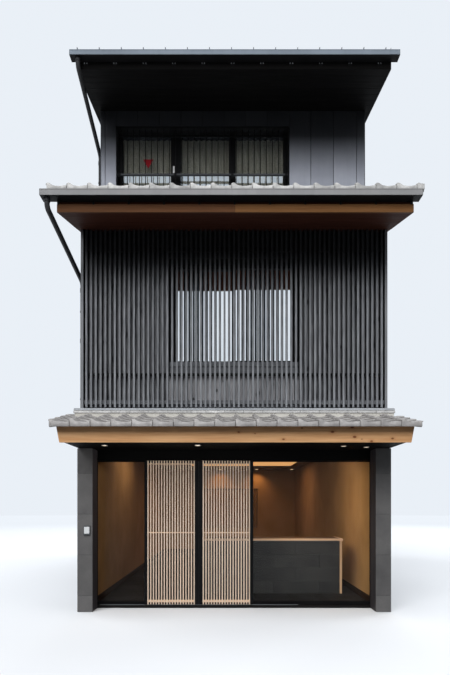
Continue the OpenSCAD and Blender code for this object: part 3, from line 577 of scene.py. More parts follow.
CORNER_D, PLINTH_Z = 8.99, 0.055
trims = [slab("trim", (s * (HALF_W - 0.002), depth(CORNER_D), 0.0),
              (s * (HALF_W + 0.020), REAR_Y + 0.020, WALL_TOP_Z), 0.003) for s in (-1, 1)]
trims += [slab("trim", (s * (HALF_W + 0.002), depth(0.296), 0.0),
               (s * (HALF_W + 0.022), depth(CORNER_D), PLINTH_Z), 0.003) for s in (-1, 1)]
trims.append(slab("trim", (-HALF_W, REAR_Y + 0.002, 0.0), (HALF_W, REAR_Y + 0.022, PLINTH_Z), 0.003))
for z0, z1 in trim_bands:
    trims += [slab("trim", (s * WINDOW_HALF, REAR_Y - 0.002, z0), (s * 0.903, REAR_Y + 0.020, z1), 0.003)
              for s in (-1, 1)]
    trims.append(slab("trim", (-WINDOW_HALF, REAR_Y - 0.002, z1 - WINDOW_TRIM),
                      (WINDOW_HALF, REAR_Y + 0.022, z1), 0.003))
    trims.append(slab("sill", (-0.915, REAR_Y - 0.060, z0), (0.915, REAR_Y + 0.042, z0 + WINDOW_TRIM), 0.004))
siding_trims = joined("siding_trims", trims)
siding_steel = sheet_steel("siding_steel", tint(112, 117, 126), tint(82, 87, 96))
trim_steel = sheet_steel("trim_steel", tint(62, 65, 71), tint(44, 47, 52), 0.3, 0.42, 0.0004)
for piece in (right_siding, left_siding, rear_siding, siding_trims):
    fixed(painted(piece, trim_steel if piece is siding_trims else siding_steel))


# Piers: a mortar core faced with riven slate slabs 20 mm thick, in courses of about 0.6 m
# that are set with 3 mm joints. The reveals towards the doors are lined with thin steel in a dark
# grey that is painted shade: it stands for the slate of the reveals in shade.
PIER_X0, PIER_X1, RECESS, SOFFIT_Z = 2.078, 2.300, 0.290, 2.400
PIER_JOINTS = (0.0, 0.2412, 0.8380, 1.4348, 2.0316, SOFFIT_Z)
FACING, JOINT = 0.020, 0.003
right_slabs = []
for z0, z1 in zip(PIER_JOINTS, PIER_JOINTS[1:]):
    low, high = (z0 + JOINT / 2 if z0 else 0.0), z1 - JOINT / 2
    right_slabs += [
        slab("slab", (PIER_X0, depth(0), low), (PIER_X1, depth(FACING), high), 0.0016, 2),
        slab("slab", (PIER_X1 - FACING, depth(FACING + 0.001), low),
             (PIER_X1, depth(RECESS), high), 0.0016, 2)]
right_slates = joined("right_pier_slates", right_slabs)
left_slates = mirrored("left_pier_slates", right_slates)
pier_slate = stone("pier_slate", tint(108, 107, 107), tint(84, 83, 84), 0.0018, 0.60)
mortar = plaster("mortar", tint(62, 64, 66), tint(44, 46, 48))
for s, slates, node_name in ((1, right_slates, "right_pier"), (-1, left_slates, "left_pier")):
    core = slab(node_name + "_core", (s * (PIER_X0 + 0.004), depth(0.004), 0.001),
                (s * (PIER_X1 - 0.004), depth(RECESS), SOFFIT_Z), 0.002)
    fixed(painted(slates, pier_slate), node_name)
    fixed(painted(core, mortar), node_name)


# Shopfront: black powder-coated steel header and fixed frames, a honed stone sill with a
# stainless rail let onto it, and two fixed panes of 10 mm glass held in rubber gaskets.
def powder_coat(name, colour, dusty, roughness=0.42, gloss=0.25):
    """Powder-coated metal: an orange-peel skin with a breath of dust and rain marks"""
    paint = new_paint(name)
    place = spot(paint, apart=0.3)
    broad = between(paint, cloud(paint, place, 0.45, 5), 0.35, 0.7)
    marks = between(paint, cloud(paint, spot(paint, (1, 1, 0.08), 0.3), 0.02, 4, 0.6), 0.45, 0.75)
    tone = blend(paint, between(paint, broad, 0, 1, 0, 0.6), colour, dusty)
    tone = blend(paint, between(paint, marks, 0, 1, 0, 0.35), tone, dusty)
    skin = bump(paint, cloud(paint, place, 0.003, 2), 0.00012, 0.7)
    return surface(paint, {"Base Color": tone, "Normal": skin, "Specular IOR Level": gloss,
                           "Roughness": between(paint, marks, 0, 1, roughness, roughness + 0.18)})


black_metal = powder_coat("black_metal", tint(12, 12, 13), tint(24, 24, 25), 0.42, 0.08)
# The header's black is a darker copy of the black metal: painted shade under the eave
header_shade_black = powder_coat("header_shade_black", tint(4, 4, 4), tint(9, 9, 9), 0.5, 0.04)
for name, paint in (("shop_header", header_shade_black), ("left_leaf_frame", black_metal),
                    ("right_leaf_frame", black_metal)):
    painted(eased(frame["nodes"][name], 0.0025), paint)

# The lining's dark grey is painted shade of the slate reveals
right_lining = slab("right_pier_lining", (PIER_X0, depth(FACING + 0.0005), 0.002),
                    (PIER_X0 + 0.0035, depth(RECESS), SOFFIT_Z), 0.0008)
reveal_shade_lining = powder_coat("reveal_shade_lining", tint(64, 61, 64), tint(52, 50, 53), 0.5, 0.12)
for lining, node_name in ((right_lining, "right_pier"),
                          (mirrored("left_pier_lining", right_lining), "left_pier")):
    fixed(painted(lining, reveal_shade_lining), node_name)

SILL_Z, SILL_D1 = 0.038, 0.440
sill = slab("stone_sill", (-INNER_HALF, depth(RECESS), 0.0), (INNER_HALF, depth(SILL_D1), SILL_Z), 0.003, 2)
fixed(painted(sill, stone("sill_stone", tint(19, 17, 15), tint(12, 11, 10), 0.0008, 0.60)),
      "door_sill")


def bright_metal(name, colour):
    """Brushed stainless steel or zinc with faint smears"""
    paint = new_paint(name)
    brushed = cloud(paint, spot(paint, (0.05, 1, 1), 0.2), 0.002, 3, 0.6)
    smear = between(paint, cloud(paint, spot(paint), 0.08, 4), 0.3, 0.7)
    tone = blend(paint, between(paint, brushed, 0.3, 0.7, 0, 0.35), colour, tint(120, 122, 125))
    return surface(paint, {"Base Color": tone, "Metallic": 1.0, "Normal": bump(paint, brushed, 0.0001, 0.6),
                           "Roughness": between(paint, smear, 0, 1, 0.30, 0.48)})


RAIL_Y, RAIL_HALF_T = depth(0.340), 0.004
stainless = bright_metal("stainless", tint(196, 198, 200))
rail = slab("roller_rail", (-2.056, RAIL_Y - RAIL_HALF_T, SILL_Z - 0.001),
            (0.984, RAIL_Y + RAIL_HALF_T, SILL_Z + 0.006), 0.0015, 2)
fixed(painted(rail, stainless))


def pane_glass(name, share, colour=(0.90, 0.94, 0.95, 1)):
    """A clear pane: share is how much of the light it mirrors; the rest passes through"""
    paint = new_paint(name)
    film = between(paint, cloud(paint, spot(paint, (1, 1, 0.5)), 0.7, 3), 0.3, 0.7)
    return surface(paint, {"Base Color": blend(paint, film, colour, tint(225, 232, 236)), "Metallic": 1.0,
                           "Roughness": between(paint, film, 0, 1, 0.015, 0.035), "Alpha": share,
                           "Normal": bump(paint, cloud(paint, spot(paint), 1.1, 1), 0.0006, 0.5)})


shop_pane = pane_glass("shop_pane", 0.005)
for name in ("left_leaf_glass", "right_leaf_glass"):
    painted(eased(frame["nodes"][name], 0.0008, 1), shop_pane)

FIXED_D0, FIXED_D1, HEADER_Z = 0.366, 0.426, 2.250
GLASS_D0, GLASS_D1, GLASS_Z0, GLASS_Z1 = 0.391, 0.401, 0.084, 2.240
DOOR_X0, DOOR_X1, POST_W, CHANNEL_X = -1.320, 0.248, 0.046, 2.105
GLASS_IN, GASKET_W, GASKET_GAP = 0.006, 0.007, 0.0005
gasket_parts, fixed_bars, fixed_panes = [], [], []
for x0, x1, post in ((-CHANNEL_X, DOOR_X0 - POST_W, DOOR_X0 - POST_W),
                     (DOOR_X1 + POST_W, CHANNEL_X, DOOR_X1)):
    channel = (-INNER_HALF, x0) if x0 < 0 else (x1, INNER_HALF)
    for (a, b), z0, z1 in ((channel, SILL_Z, HEADER_Z), ((post, post + POST_W), SILL_Z, HEADER_Z),
                           ((x0, x1), SILL_Z, GLASS_Z0), ((x0, x1), GLASS_Z1, HEADER_Z)):
        fixed_bars.append(slab("bar", (a, depth(FIXED_D0), z0), (b, depth(FIXED_D1), z1), 0.0025, 2))
    fixed_panes.append(slab("pane", (x0 - GLASS_IN, depth(GLASS_D0), GLASS_Z0 - GLASS_IN),
                            (x1 + GLASS_IN, depth(GLASS_D1), GLASS_Z1 + GLASS_IN), 0.0008))
    for d0, d1 in ((GLASS_D0 - GASKET_W, GLASS_D0 - GASKET_GAP),
                   (GLASS_D1 + GASKET_GAP, GLASS_D1 + GASKET_W)):
        for x in (x0, x1 - GASKET_W):
            gasket_parts.append(slab("gasket", (x, depth(d0), GLASS_Z0),
                                     (x + GASKET_W, depth(d1), GLASS_Z1), 0.002))
        for z in (GLASS_Z0, GLASS_Z1 - GASKET_W):
            gasket_parts.append(slab("gasket", (x0, depth(d0), z), (x1, depth(d1), z + GASKET_W), 0.002))
gaskets = joined("shop_gaskets", gasket_parts)
fixed_frames = joined("shop_fixed_frames", fixed_bars)
fixed_glass = joined("shop_fixed_panes", fixed_panes)
rubber = powder_coat("gasket_rubber", tint(18, 18, 18), tint(28, 28, 28), 0.6, 0.08)
fixed(painted(gaskets, rubber), "shop_frame")
fixed(painted(fixed_frames, black_metal), "shop_frame")
fixed(painted(fixed_glass, shop_pane), "shop_glass")


# Sliding leaves: the black frames carry a lattice of 18 planed slats of light wood on three
# rails, which are let in flush with the slats and pegged. Each leaf rolls on two wheels.
LEAF_W, LEAF_D0, LEAF_Z0, LEAF_Z1 = 0.725, 0.300, 0.050, 2.244
SLAT, SLAT_N, SLAT_IN = 0.018, 18, 0.002
LEAF_RAILS = ((0.085, 0.036), (1.140, 0.014), (2.188, 0.014))
door_wood = board_wood("door_wood", tint(228, 209, 190), tint(200, 175, 154), 2, streak=0.35, ring=0.012,
                       roughness=0.42, tones=0.07, relief=0.0003)
door_rail_wood = board_wood("door_rail_wood", tint(232, 200, 170), tint(206, 168, 134), 0, streak=0.35,
                            ring=0.012, roughness=0.42, tones=0.04, relief=0.0003)
for side, x0 in (("left", DOOR_X0), ("right", DOOR_X1 - LEAF_W)):
    x1 = x0 + LEAF_W
    step = (LEAF_W - SLAT - 2 * SLAT_IN) / (SLAT_N - 1)
    one = slab("slat", (x0 + SLAT_IN, depth(LEAF_D0), LEAF_Z0),
               (x0 + SLAT_IN + SLAT, depth(LEAF_D0 + SLAT), LEAF_Z1), 0.0022, 2)
    slats = copies(side + "_leaf_slats", one, [(i * step, 0, 0) for i in range(SLAT_N)])
    rails = joined(side + "_leaf_rails", [
        slab("rail", (x0 + 0.0002, depth(LEAF_D0 + 0.0012), z), (x1 - 0.0002, depth(LEAF_D0 + 0.0218), z + h),
             0.002, 2) for z, h in LEAF_RAILS])
    for piece, paint in ((slats, door_wood), (rails, door_rail_wood)):
        fixed(painted(piece, paint), side + "_leaf_lattice", side + "_leaf")


# Entrance soffit: boards screwed up under the eave and painted near-black as painted shade, with
# four lamps let into them, each a turned white ring round a lit lens. Three more light the back wall of the
# shop.
FASCIA_D1, BOARD, BOARD_GAP, BOARD_T = -0.785, 0.1785, 0.003, 0.018
boards = []
for k in range(6):
    d0 = FASCIA_D1 + k * BOARD
    boards.append(slab("board", (-HALF_W, depth(d0), SOFFIT_Z),
                       (HALF_W, depth(d0 + BOARD - BOARD_GAP), SOFFIT_Z + BOARD_T), 0.002))
soffit = joined("soffit_boards", boards)
# The boards' near-black colour is painted shade under the eave
fixed(painted(soffit, board_wood("entrance_shade_black", tint(7, 6, 6), tint(3, 3, 3), 0, streak=0.4, roughness=0.6,
                                 tones=0.25, relief=0.0004, gloss=0.04)), "entrance_soffit")


def smooth(piece, angle=40):
    """Shades a piece smooth across all but its sharp edges"""
    alone(piece)
    bpy.ops.object.shade_smooth_by_angle(angle=math.radians(angle))
    return piece


def pick_faces(piece, wanted):
    """Opens a piece in edit mode with only the wanted faces selected"""
    alone(piece)
    bpy.ops.object.mode_set(mode="EDIT")
    bpy.ops.mesh.select_mode(type="FACE")
    bpy.ops.mesh.select_all(action="DESELECT")
    bpy.ops.object.mode_set(mode="OBJECT")
    for face in piece.data.polygons:
        face.select = wanted(face)
    bpy.ops.object.mode_set(mode="EDIT")


def turned(name, radius, height, profile, sides=32, at=(0, 0, 0)):
    """A round piece that hangs down from a disc: the profile insets its face and moves it along Z"""
    bpy.ops.object.select_all(action="DESELECT")
    bpy.ops.mesh.primitive_cylinder_add(vertices=sides, radius=radius, depth=height, location=at)
    made = bpy.context.object
    made.name = name
    bpy.ops.object.transform_apply(location=True, rotation=True, scale=True)
    pick_faces(made, lambda face: face.normal.z < -0.9)
    for inward, move in profile:
        bpy.ops.mesh.inset(thickness=inward)
        if move:
            bpy.ops.mesh.extrude_region_move(TRANSFORM_OT_translate={"value": (0, 0, move)})
    bpy.ops.object.mode_set(mode="OBJECT")
    return smooth(made)


LAMP_R, LENS_R = 0.045, 0.034
lamp_places = [(x, depth(d), 0) for x, d in (
    (-1.812, -0.370), (-0.515, -0.370), (1.535, -0.296), (1.887, -0.173))]
ring = turned("lamp_ring", LAMP_R, 0.005, [(0.002, -0.001), (0.008, 0.005)], at=(0, 0, SOFFIT_Z - 0.0025))
lamp_rings = copies("lamp_rings", ring, lamp_places)
painted(lamp_rings, powder_coat("lamp_white", tint(150, 150, 148), tint(128, 128, 126), 0.4))
lens = turned("lamp_lens", LENS_R, 0.004, [(0.004, -0.0008), (0.010, -0.0006)], at=(0, 0, SOFFIT_Z - 0.0030))
lamp_lenses = copies("lamp_lenses", lens, lamp_places)
painted(lamp_lenses, glow("lens_glow", tint(250, 232, 208), 0.8, tint(238, 214, 182)))
for piece in (lamp_rings, lamp_lenses):
    fixed(piece, "downlights")
soft_light("soffit_lamp", (-0.53, depth(-0.66), 2.37), (-0.53, depth(0.32), 1.85), (2.4, 0.10), 11,
           (1.0, 0.95, 0.89))

WASHER_XS, WASHER_D = (-0.29, 0.86, 1.96), 8.45
shop_ring = turned("shop_lamp_rings", LAMP_R, 0.005, [(0.002, -0.001), (0.012, 0.005), (0.004, 0.001)],
                   at=(0, 0, CEILING_Z - 0.0145))
shop_rings = copies("shop_lamp_rings", shop_ring, [(x, depth(WASHER_D), 0) for x in WASHER_XS])
fixed(painted(shop_rings, glow("shop_lens_glow", tint(255, 222, 170), 1.0, tint(244, 206, 150))))
for x in WASHER_XS[:2]:
    bpy.ops.object.light_add(type="SPOT", location=(x, depth(WASHER_D + 0.10), 2.66), rotation=(0.55, 0, 0))
    washer = bpy.context.object
    washer.name = "wall_lamp"
    washer.data.energy, washer.data.color = 13, (1.0, 0.58, 0.28)
    washer.data.spot_size, washer.data.spot_blend = math.radians(105), 0.9
    washer.data.shadow_soft_size = 0.03
    washer.visible_glossy = False


# Door station on the left pier: a cast housing with a raised light cover and a row of
# speaker slots, screwed to the slate under a small rain hood.
STATION_X0, STATION_X1, STATION_Z0, STATION_Z1 = -2.205, -2.108, 1.125, 1.267
STATION_Y = depth(0) - 0.025
housing = slab("housing", (STATION_X0, STATION_Y + 0.006, STATION_Z0),
               (STATION_X1, depth(0), STATION_Z1), 0.005, 3)
hood = slab("hood", (STATION_X0 - 0.001, STATION_Y, STATION_Z1 - 0.012),
            (STATION_X1 + 0.001, depth(0), STATION_Z1), 0.003, 2)
slots = [slab("slot", (STATION_X0 + 0.026 + i * 0.012, STATION_Y + 0.004, STATION_Z0 + 0.012),
              (STATION_X0 + 0.031 + i * 0.012, STATION_Y + 0.008, STATION_Z0 + 0.016), 0.001)
         for i in range(4)]
station = joined("station_housing", [housing, hood] + slots)
cover = slab("station_cover", (STATION_X0 + 0.010, STATION_Y + 0.001, STATION_Z0 + 0.025),
             (STATION_X1 - 0.010, STATION_Y + 0.010, STATION_Z1 - 0.017), 0.004, 3)
painted(station, powder_coat("station_grey", tint(74, 76, 79), tint(92, 94, 96), 0.35))
painted(cover, powder_coat("station_white", tint(216, 219, 222), tint(196, 199, 202), 0.3))
for piece in (station, cover):
    fixed(piece, "intercom")


# Reception counter: courses of dark slate blocks with staggered joints and a wooden end board,
# under a top with a darker middle and light wood edging that stands out 15 mm in front.
COUNTER_X0, COUNTER_X1, COUNTER_D0, COUNTER_D1 = -0.496, 1.838, 1.280, 1.880
COURSE_ZS = (FLOOR_Z, 0.262, 0.490, 0.716, 0.954)
EVEN_CUTS, ODD_CUTS = (0.40, 1.19, 1.98), (0.79, 1.58)
blocks = []
for k, (z0, z1) in enumerate(zip(COURSE_ZS, COURSE_ZS[1:])):
    cuts = [COUNTER_X0] + [COUNTER_X0 + cut for cut in (ODD_CUTS if k % 2 else EVEN_CUTS)] + [COUNTER_X1]
    for x0, x1 in zip(cuts, cuts[1:]):
        set_back = 0.0015 * chance.random()
        blocks.append(slab("block", (x0 + 0.001, depth(COUNTER_D0 + set_back), z0 + 0.001),
                           (x1 - 0.001, depth(COUNTER_D1), z1 - 0.001), 0.0025, 2))
counter = joined("counter_slates", blocks)
END_X1, TOP_OUT, EDGE_W, TOP_Z0, TOP_Z1 = 1.876, 0.015, 0.035, 0.954, 0.990
counter_end = slab("counter_end_board", (COUNTER_X1 + 0.001, depth(COUNTER_D0 - 0.004), FLOOR_Z),
                   (END_X1, depth(COUNTER_D1), TOP_Z0 - 0.0005), 0.003, 2)
fixed(painted(counter, stone("counter_slate", tint(64, 63, 61), tint(38, 38, 37), 0.0008, 0.5)),
      "counter_body")
fixed(painted(counter_end, board_wood("counter_end_wood", tint(214, 178, 140), tint(180, 140, 102), 2,
                                      streak=0.35)), "counter_body")
edge_x0, edge_x1, board_d = COUNTER_X0 - TOP_OUT, END_X1 + TOP_OUT, COUNTER_D0 - TOP_OUT + EDGE_W + 0.0005
counter_edging = joined("counter_top_edging", [
    slab("edge", (x0, depth(d0), TOP_Z0), (x1, depth(d1), TOP_Z1), 0.003, 2) for x0, d0, x1, d1 in (
        (edge_x0, COUNTER_D0 - TOP_OUT, edge_x1, board_d - 0.0005),
        (edge_x0, board_d, edge_x0 + EDGE_W, COUNTER_D1), (edge_x1 - EDGE_W, board_d, edge_x1, COUNTER_D1))])
counter_board = slab("counter_top_board", (edge_x0 + EDGE_W + 0.0005, depth(board_d), TOP_Z0),
                     (edge_x1 - EDGE_W - 0.0005, depth(COUNTER_D1), TOP_Z1 - 0.001), 0.001)
painted(counter_edging, door_rail_wood)
painted(counter_board, board_wood("counter_board_wood", tint(98, 72, 50), tint(70, 48, 32), 0, roughness=0.5,
                                  gloss=0.15))
for piece in (counter_edging, counter_board):
    fixed(piece, "counter_top")


# Lower eave: rough roof boards behind a cedar fascia in two lengths, one nearly clear and one
# knotty, butted in the middle, planed, and cut back at the ends. It is nailed to the rafters.
painted(eased(frame["nodes"]["lower_roof_deck"], 0.002, 1),
        board_wood("roof_boards", tint(112, 82, 56), tint(74, 52, 34), 0, roughness=0.7))
CEDAR_JOINT, CEDAR_GAP, CEDAR_Z0, CEDAR_Z1 = -0.02, 0.0006, 2.386, 2.600
FASCIA_D0, CEDAR_HALF, CEDAR_FOOT = -0.810, 2.340, 2.300
for side, s, knots in (("left", -1, 0), ("right", 1, 0.17)):
    butt = CEDAR_JOINT + s * CEDAR_GAP / 2
    ends = [(butt, CEDAR_Z0), (s * CEDAR_FOOT, CEDAR_Z0), (s * CEDAR_HALF, CEDAR_Z1), (butt, CEDAR_Z1)]
    if s < 0:
        ends = [ends[1], ends[0], ends[3], ends[2]]
    cedar = outline_piece("cedar_fascia_" + side, ends, 1, depth(FASCIA_D0), depth(FASCIA_D1))
    painted(eased(cedar, 0.0015), board_wood(
        side + "_cedar_wood", tint(222, 178, 132), tint(178, 124, 78), 0, knots=knots,
        knot_colour=tint(112, 64, 36), streak=0.55, ring=0.030, roughness=0.5, tones=0.03))
    fixed(cedar, "lower_fascia")


# Lower roof: smoked clay pantiles in four courses, each laid over the one below and hooked on
# a batten. The eave tiles end in a flat straight-edged face; the verges have skirts.
TILE_W, TILE_LEN, TILE_SHOW, TILE_T, TILE_N = 0.2654, 0.300, 0.235, 0.016, 18
ROLL_H, ROLL_W, ROLL_IN, TROUGH_H, EDGE_H = 0.036, 0.096, 0.022, 0.008, 0.010
RISE_X, LAP_X, CURL_X = 0.84 * TILE_W, TILE_W + 0.012, -0.006
TILE_LIFT, TILE_TILT = 0.0438, math.asin((TILE_T + 0.0003) / TILE_SHOW)


def tile_under(x):
    """Height of a tile's underside at a distance from its left edge: roll, trough and rising edge"""
    if x < ROLL_W:
        return ROLL_H * (1 + math.cos(math.pi * (x - ROLL_IN) / (ROLL_W - ROLL_IN))) / 2
    if x < RISE_X:
        return -TROUGH_H * math.sin(math.pi * (x - ROLL_W) / (RISE_X - ROLL_W))
    return EDGE_H * (1 - math.cos(math.pi / 2 * (x - RISE_X) / (LAP_X - RISE_X)))


def tile_bends(x0, x1):
    """Distances at which a tile's outline bends, from one to another"""
    return steps(x0, ROLL_W, 7) + steps(ROLL_W, RISE_X, 5)[1:] + steps(RISE_X, x1, 2)[1:]


def ease_end(piece, y, width):
    """Rounds the edges of the end face that lies at Y"""
    pick_faces(piece, lambda face: abs(face.center.y - y) < 0.0001)
    bpy.ops.mesh.bevel(offset=width, segments=1, affect="EDGES")
    bpy.ops.object.mode_set(mode="OBJECT")
    return piece


def pantile(name, xs):
    """A tile, or its roll alone, drawn through those distances and eased at the end that shows"""
    outline = [(x, tile_under(x)) for x in xs] + [(x, tile_under(x) + TILE_T) for x in reversed(xs)]
    return smooth(ease_end(outline_piece(name, outline, 1, 0, TILE_LEN), 0, 0.0035), 50)


def on_roof(roof, x, course):
    """Place of a tile on a roof, given by its depth, height and slope: its left edge, and its course"""
    d, z, slope = roof
    return (Matrix.Translation((0, depth(d), z)) @ Matrix.Rotation(math.atan(slope), 4, "X")
            @ Matrix.Translation((x, course * TILE_SHOW, TILE_LIFT)) @ Matrix.Rotation(-TILE_TILT, 4, "X"))


def settled(place):
    """A hand-laid tile lies a hair off its line"""
    return (place @ Matrix.Translation((0, 0.0016 * (chance.random() - 0.5), 0.0008 * chance.random()))
            @ Matrix.Rotation(0.003 * (chance.random() - 0.5), 4, "Y"))


def tile_courses(name, roof, x0, courses):
    """The tiles of a roof, course by course from the eave"""
    return copies(name, pantile("tile", tile_bends(CURL_X, LAP_X)), [
        settled(on_roof(roof, x0 + i * TILE_W, k)) for k in range(courses) for i in range(TILE_N)])


def eave_face_row(name, roof, x0, hang):
    """The straight-edged faces of the eave tiles, which hang down in front of them"""
    d, z, slope = roof
    top, front = z + TILE_LIFT * math.cos(math.atan(slope)), depth(d - 0.0262)
    xs = tile_bends(0.003, TILE_W - 0.003)
    face = outline_piece("eave_face", [(xs[0], top - hang), (xs[-1], top - hang)] + [
        (x, top + tile_under(x) + TILE_T - 0.0005) for x in reversed(xs)], 1, front, front + 0.020)
    return copies(name, smooth(ease_end(face, front, 0.003), 50), [
        (x0 + i * TILE_W, 0.0008 * (chance.random() - 0.5), 0) for i in range(TILE_N)])


def verge_skirts(name, roof, x0, courses):
    """The skirts of the verge tiles, from x0 to its mirror image"""
    skirt = slab("skirt", (0, 0.002, -0.056), (0.013, TILE_LEN, 0.022), 0.003, 2)
    return copies(name, skirt, [on_roof(roof, x, k) for k in range(courses) for x in (x0, -x0 - 0.013)])


def smoked_clay(name, light, dark, tones=(0.84, 1.10)):
    """Smoked roof tile: a silvery carbon skin, tiles that differ in tone, soot clouds and fine pores"""
    paint = new_paint(name)
    place = spot(paint, apart=1.0)
    soot = between(paint, cloud(paint, place, 0.11, 5, 0.6), 0.32, 0.68)
    pores = cloud(paint, place, 0.0035, 3)
    weather = between(paint, cloud(paint, spot(paint), 0.5, 4), 0.35, 0.65)
    colour = blend(paint, soot, dark, light)
    colour = blend(paint, between(paint, weather, 0, 1, 0, 0.25), colour, dark)
    colour = blend(paint, between(paint, pores, 0.5, 0.75, 0, 0.4), colour, dark)
    relief = bump(paint, pores, 0.0003, 0.7, bump(paint, cloud(paint, place, 0.05, 3), 0.0008, 0.6))
    return surface(paint, {"Base Color": varied(paint, colour, *tones), "Metallic": 0.25, "Normal": relief,
                           "Roughness": between(paint, soot, 0, 1, 0.52, 0.40)})


LOW_ROOF, LOW_COURSES, FIELD_X = (-0.930, 2.5783, 0.264), 4, -TILE_N * TILE_W / 2
# The lower roof's tiles get a darker copy of the smoked tile paint: painted shade
lower_tile = smoked_clay("lower_tile", tint(178, 175, 173), tint(138, 135, 134), (0.93, 1.06))
for piece in (tile_courses("lower_tiles", LOW_ROOF, FIELD_X, LOW_COURSES),
              eave_face_row("eave_tile_faces", LOW_ROOF, FIELD_X, 0.047),
              verge_skirts("lower_verge_skirts", LOW_ROOF, FIELD_X, LOW_COURSES)):
    fixed(painted(piece, lower_tile), "lower_roof_tiles")


# Ridge of the lower roof: two courses of flat tiles with staggered joints, bedded in lime
# mortar against the wall, under a folded zinc flashing that turns up behind the lattice.
RIDGE_HALF, RIDGE_BACK, FLAT_N = 2.340, 0.100, 17
FIRST_ROW, SECOND_ROW = (2.9052, 2.9378, -0.070), (2.9388, 2.9718, -0.050)
flat_w = 2 * RIDGE_HALF / FLAT_N
rows = []
for (z0, z1, front), shift in ((FIRST_ROW, 0.0), (SECOND_ROW, 0.5)):
    one = slab("flat_tile", (-RIDGE_HALF, depth(front), z0),
               (-RIDGE_HALF + flat_w - 0.0015, depth(RIDGE_BACK), z1), 0.006, 2)
    rows.append(copies("row", one, [((i - shift) * flat_w, 0.001 * (chance.random() - 0.5), 0)
                                    for i in range(1 if shift else 0, FLAT_N)]))
for s in (-1, 1):
    rows.append(slab("half_tile", (s * RIDGE_HALF, depth(front), z0),
                     (s * (RIDGE_HALF - flat_w / 2 + 0.001), depth(RIDGE_BACK), z1), 0.006, 2))
ridge_tiles = joined("lower_ridge_flat_tiles", rows)
bedding = slab("lower_ridge_mortar", (-2.325, depth(-0.058), 2.830), (2.325, depth(0.095), 2.906), 0.006, 2)
flashing = outline_piece("lower_ridge_flashing", [
    (depth(-0.056), 2.948), (depth(-0.056), 2.978), (depth(0.230), 2.978), (depth(0.230), 2.973),
    (depth(-0.051), 2.973), (depth(-0.051), 2.948)], 0, -2.330, 2.330)
zinc_sheet = sheet_steel("zinc_sheet", tint(176, 179, 183), tint(140, 144, 149), 0.3, 0.42, 0.0005, 0.3)
# The ridge tiles get a lighter copy of the smoked tile paint: painted light
for piece, paint, slot in (
        (ridge_tiles, smoked_clay("ridge_tile", tint(212, 211, 210), tint(166, 165, 164)), "roof_tile"),
        (bedding, plaster("lime_mortar", tint(206, 204, 198), tint(176, 174, 168)), "roof_tile"),
        (eased(flashing, 0.0012), zinc_sheet, "roof_metal")):
    fixed(painted(piece, paint), "lower_ridge_tiles")


# Second storey's wall and window: a dark painted wall behind the lattice, and an aluminium
# window of two sliding sashes. Each sash is four extrusions screwed round its own pane.
painted(frame["nodes"]["front_wall_second"],
        sheet_steel("wall_black", tint(18, 18, 19), tint(11, 11, 12), 0.4, 0.7, gloss=0.08))
SASH_STILE, FRAME_RAIL, SASH_RAIL, FRAME_T = 0.030, 0.028, 0.032, 0.060


def window(name, x0, x1, z0, z1, outer_y, into, lights):
    """Frame, sliding sashes and panes of one window. into is 1 or -1, the way indoors along Y."""
    def bar(kind, a, b, near, far, low, high, edge=0.003, segments=2):
        return slab(kind, (a, outer_y + into * near, low), (b, outer_y + into * far, high), edge, segments)

    low, high = z0 + FRAME_RAIL, z1 - FRAME_RAIL
    parts = [bar("head", x0, x1, 0, FRAME_T, high, z1, 0.002, 1),
             bar("sill", x0, x1, 0, FRAME_T, z0, low, 0.002, 1)]
    edges = [x0] + [x for a, b in lights for x in (a - SASH_STILE, b + SASH_STILE)] + [x1]
    for a, b in zip(edges[0::2], edges[1::2]):
        if b - a > 0.004:
            parts.append(bar("post", a, b, 0, FRAME_T, low, high))
    panes = []
    for i, (a, b) in enumerate(lights):
        near, far = (0.008, 0.032) if i % 2 else (0.033, 0.057)
        middle = (near + far) / 2
        for x in (a - SASH_STILE, b):
            parts.append(bar("stile", x, x + SASH_STILE, near, far, low, high))
        for z in (low, high - SASH_RAIL):
            parts.append(bar("rail", a, b, near + 0.001, far - 0.001, z, z + SASH_RAIL))
        panes.append(bar("pane", a - 0.004, b + 0.004, middle - 0.003, middle + 0.003,
                         low + SASH_RAIL - 0.004, high - SASH_RAIL + 0.004, 0.0006, 1))
    return joined(name + "_sashes", parts), joined(name + "_panes", panes)


def glazed(sashes, panes, paint, frame_node, glass_node):
    """Paints a window and puts it in the place of its two nodes"""
    fixed(painted(sashes, black_metal), frame_node)
    fixed(painted(panes, paint), glass_node)


WIN2_HALF, WIN2_Z0, WIN2_Z1, WIN2_D = 0.960, 3.730, 5.270, 0.370
WIN2_LIGHTS = [(-0.900, -0.030), (0.030, 0.900)]
glazed(*window("second_window", -WIN2_HALF, WIN2_HALF, WIN2_Z0, WIN2_Z1, depth(WIN2_D), 1, WIN2_LIGHTS),
       pane_glass("sky_pane", 0.97, (0.98, 0.985, 0.99, 1)), "second_window_frame", "second_window_glass")


def pleated(name, x0, x1, z0, z1, y, pleats, deep):
    """A gathered curtain: deep folds that are pinched at the heading and open towards the hem"""
    bpy.ops.object.select_all(action="DESELECT")
    bpy.ops.mesh.primitive_grid_add(x_subdivisions=pleats * 8, y_subdivisions=14, size=1)
    made = bpy.context.object
    made.name = made.data.name = name
    offsets = [chance.uniform(-0.5, 0.5) for _ in range(pleats + 1)]
    for vertex in made.data.vertices:
        u, v = vertex.co.x + 0.5, vertex.co.y + 0.5
        fold = u * pleats
        swing = offsets[int(fold) if fold < pleats else pleats - 1]
        open_by = 0.45 + 0.55 * (1 - v)
        wave = math.sin(2 * math.pi * fold + 0.5 * math.sin(3.1 * v + 6 * u))
        vertex.co = (x0 + (x1 - x0) * u + 0.006 * math.sin(9 * u + 4 * v) * (1 - v),
                     y + deep * open_by * wave * (1 + 0.35 * swing), z0 + (z1 - z0) * v)
    return smooth(made, 180)


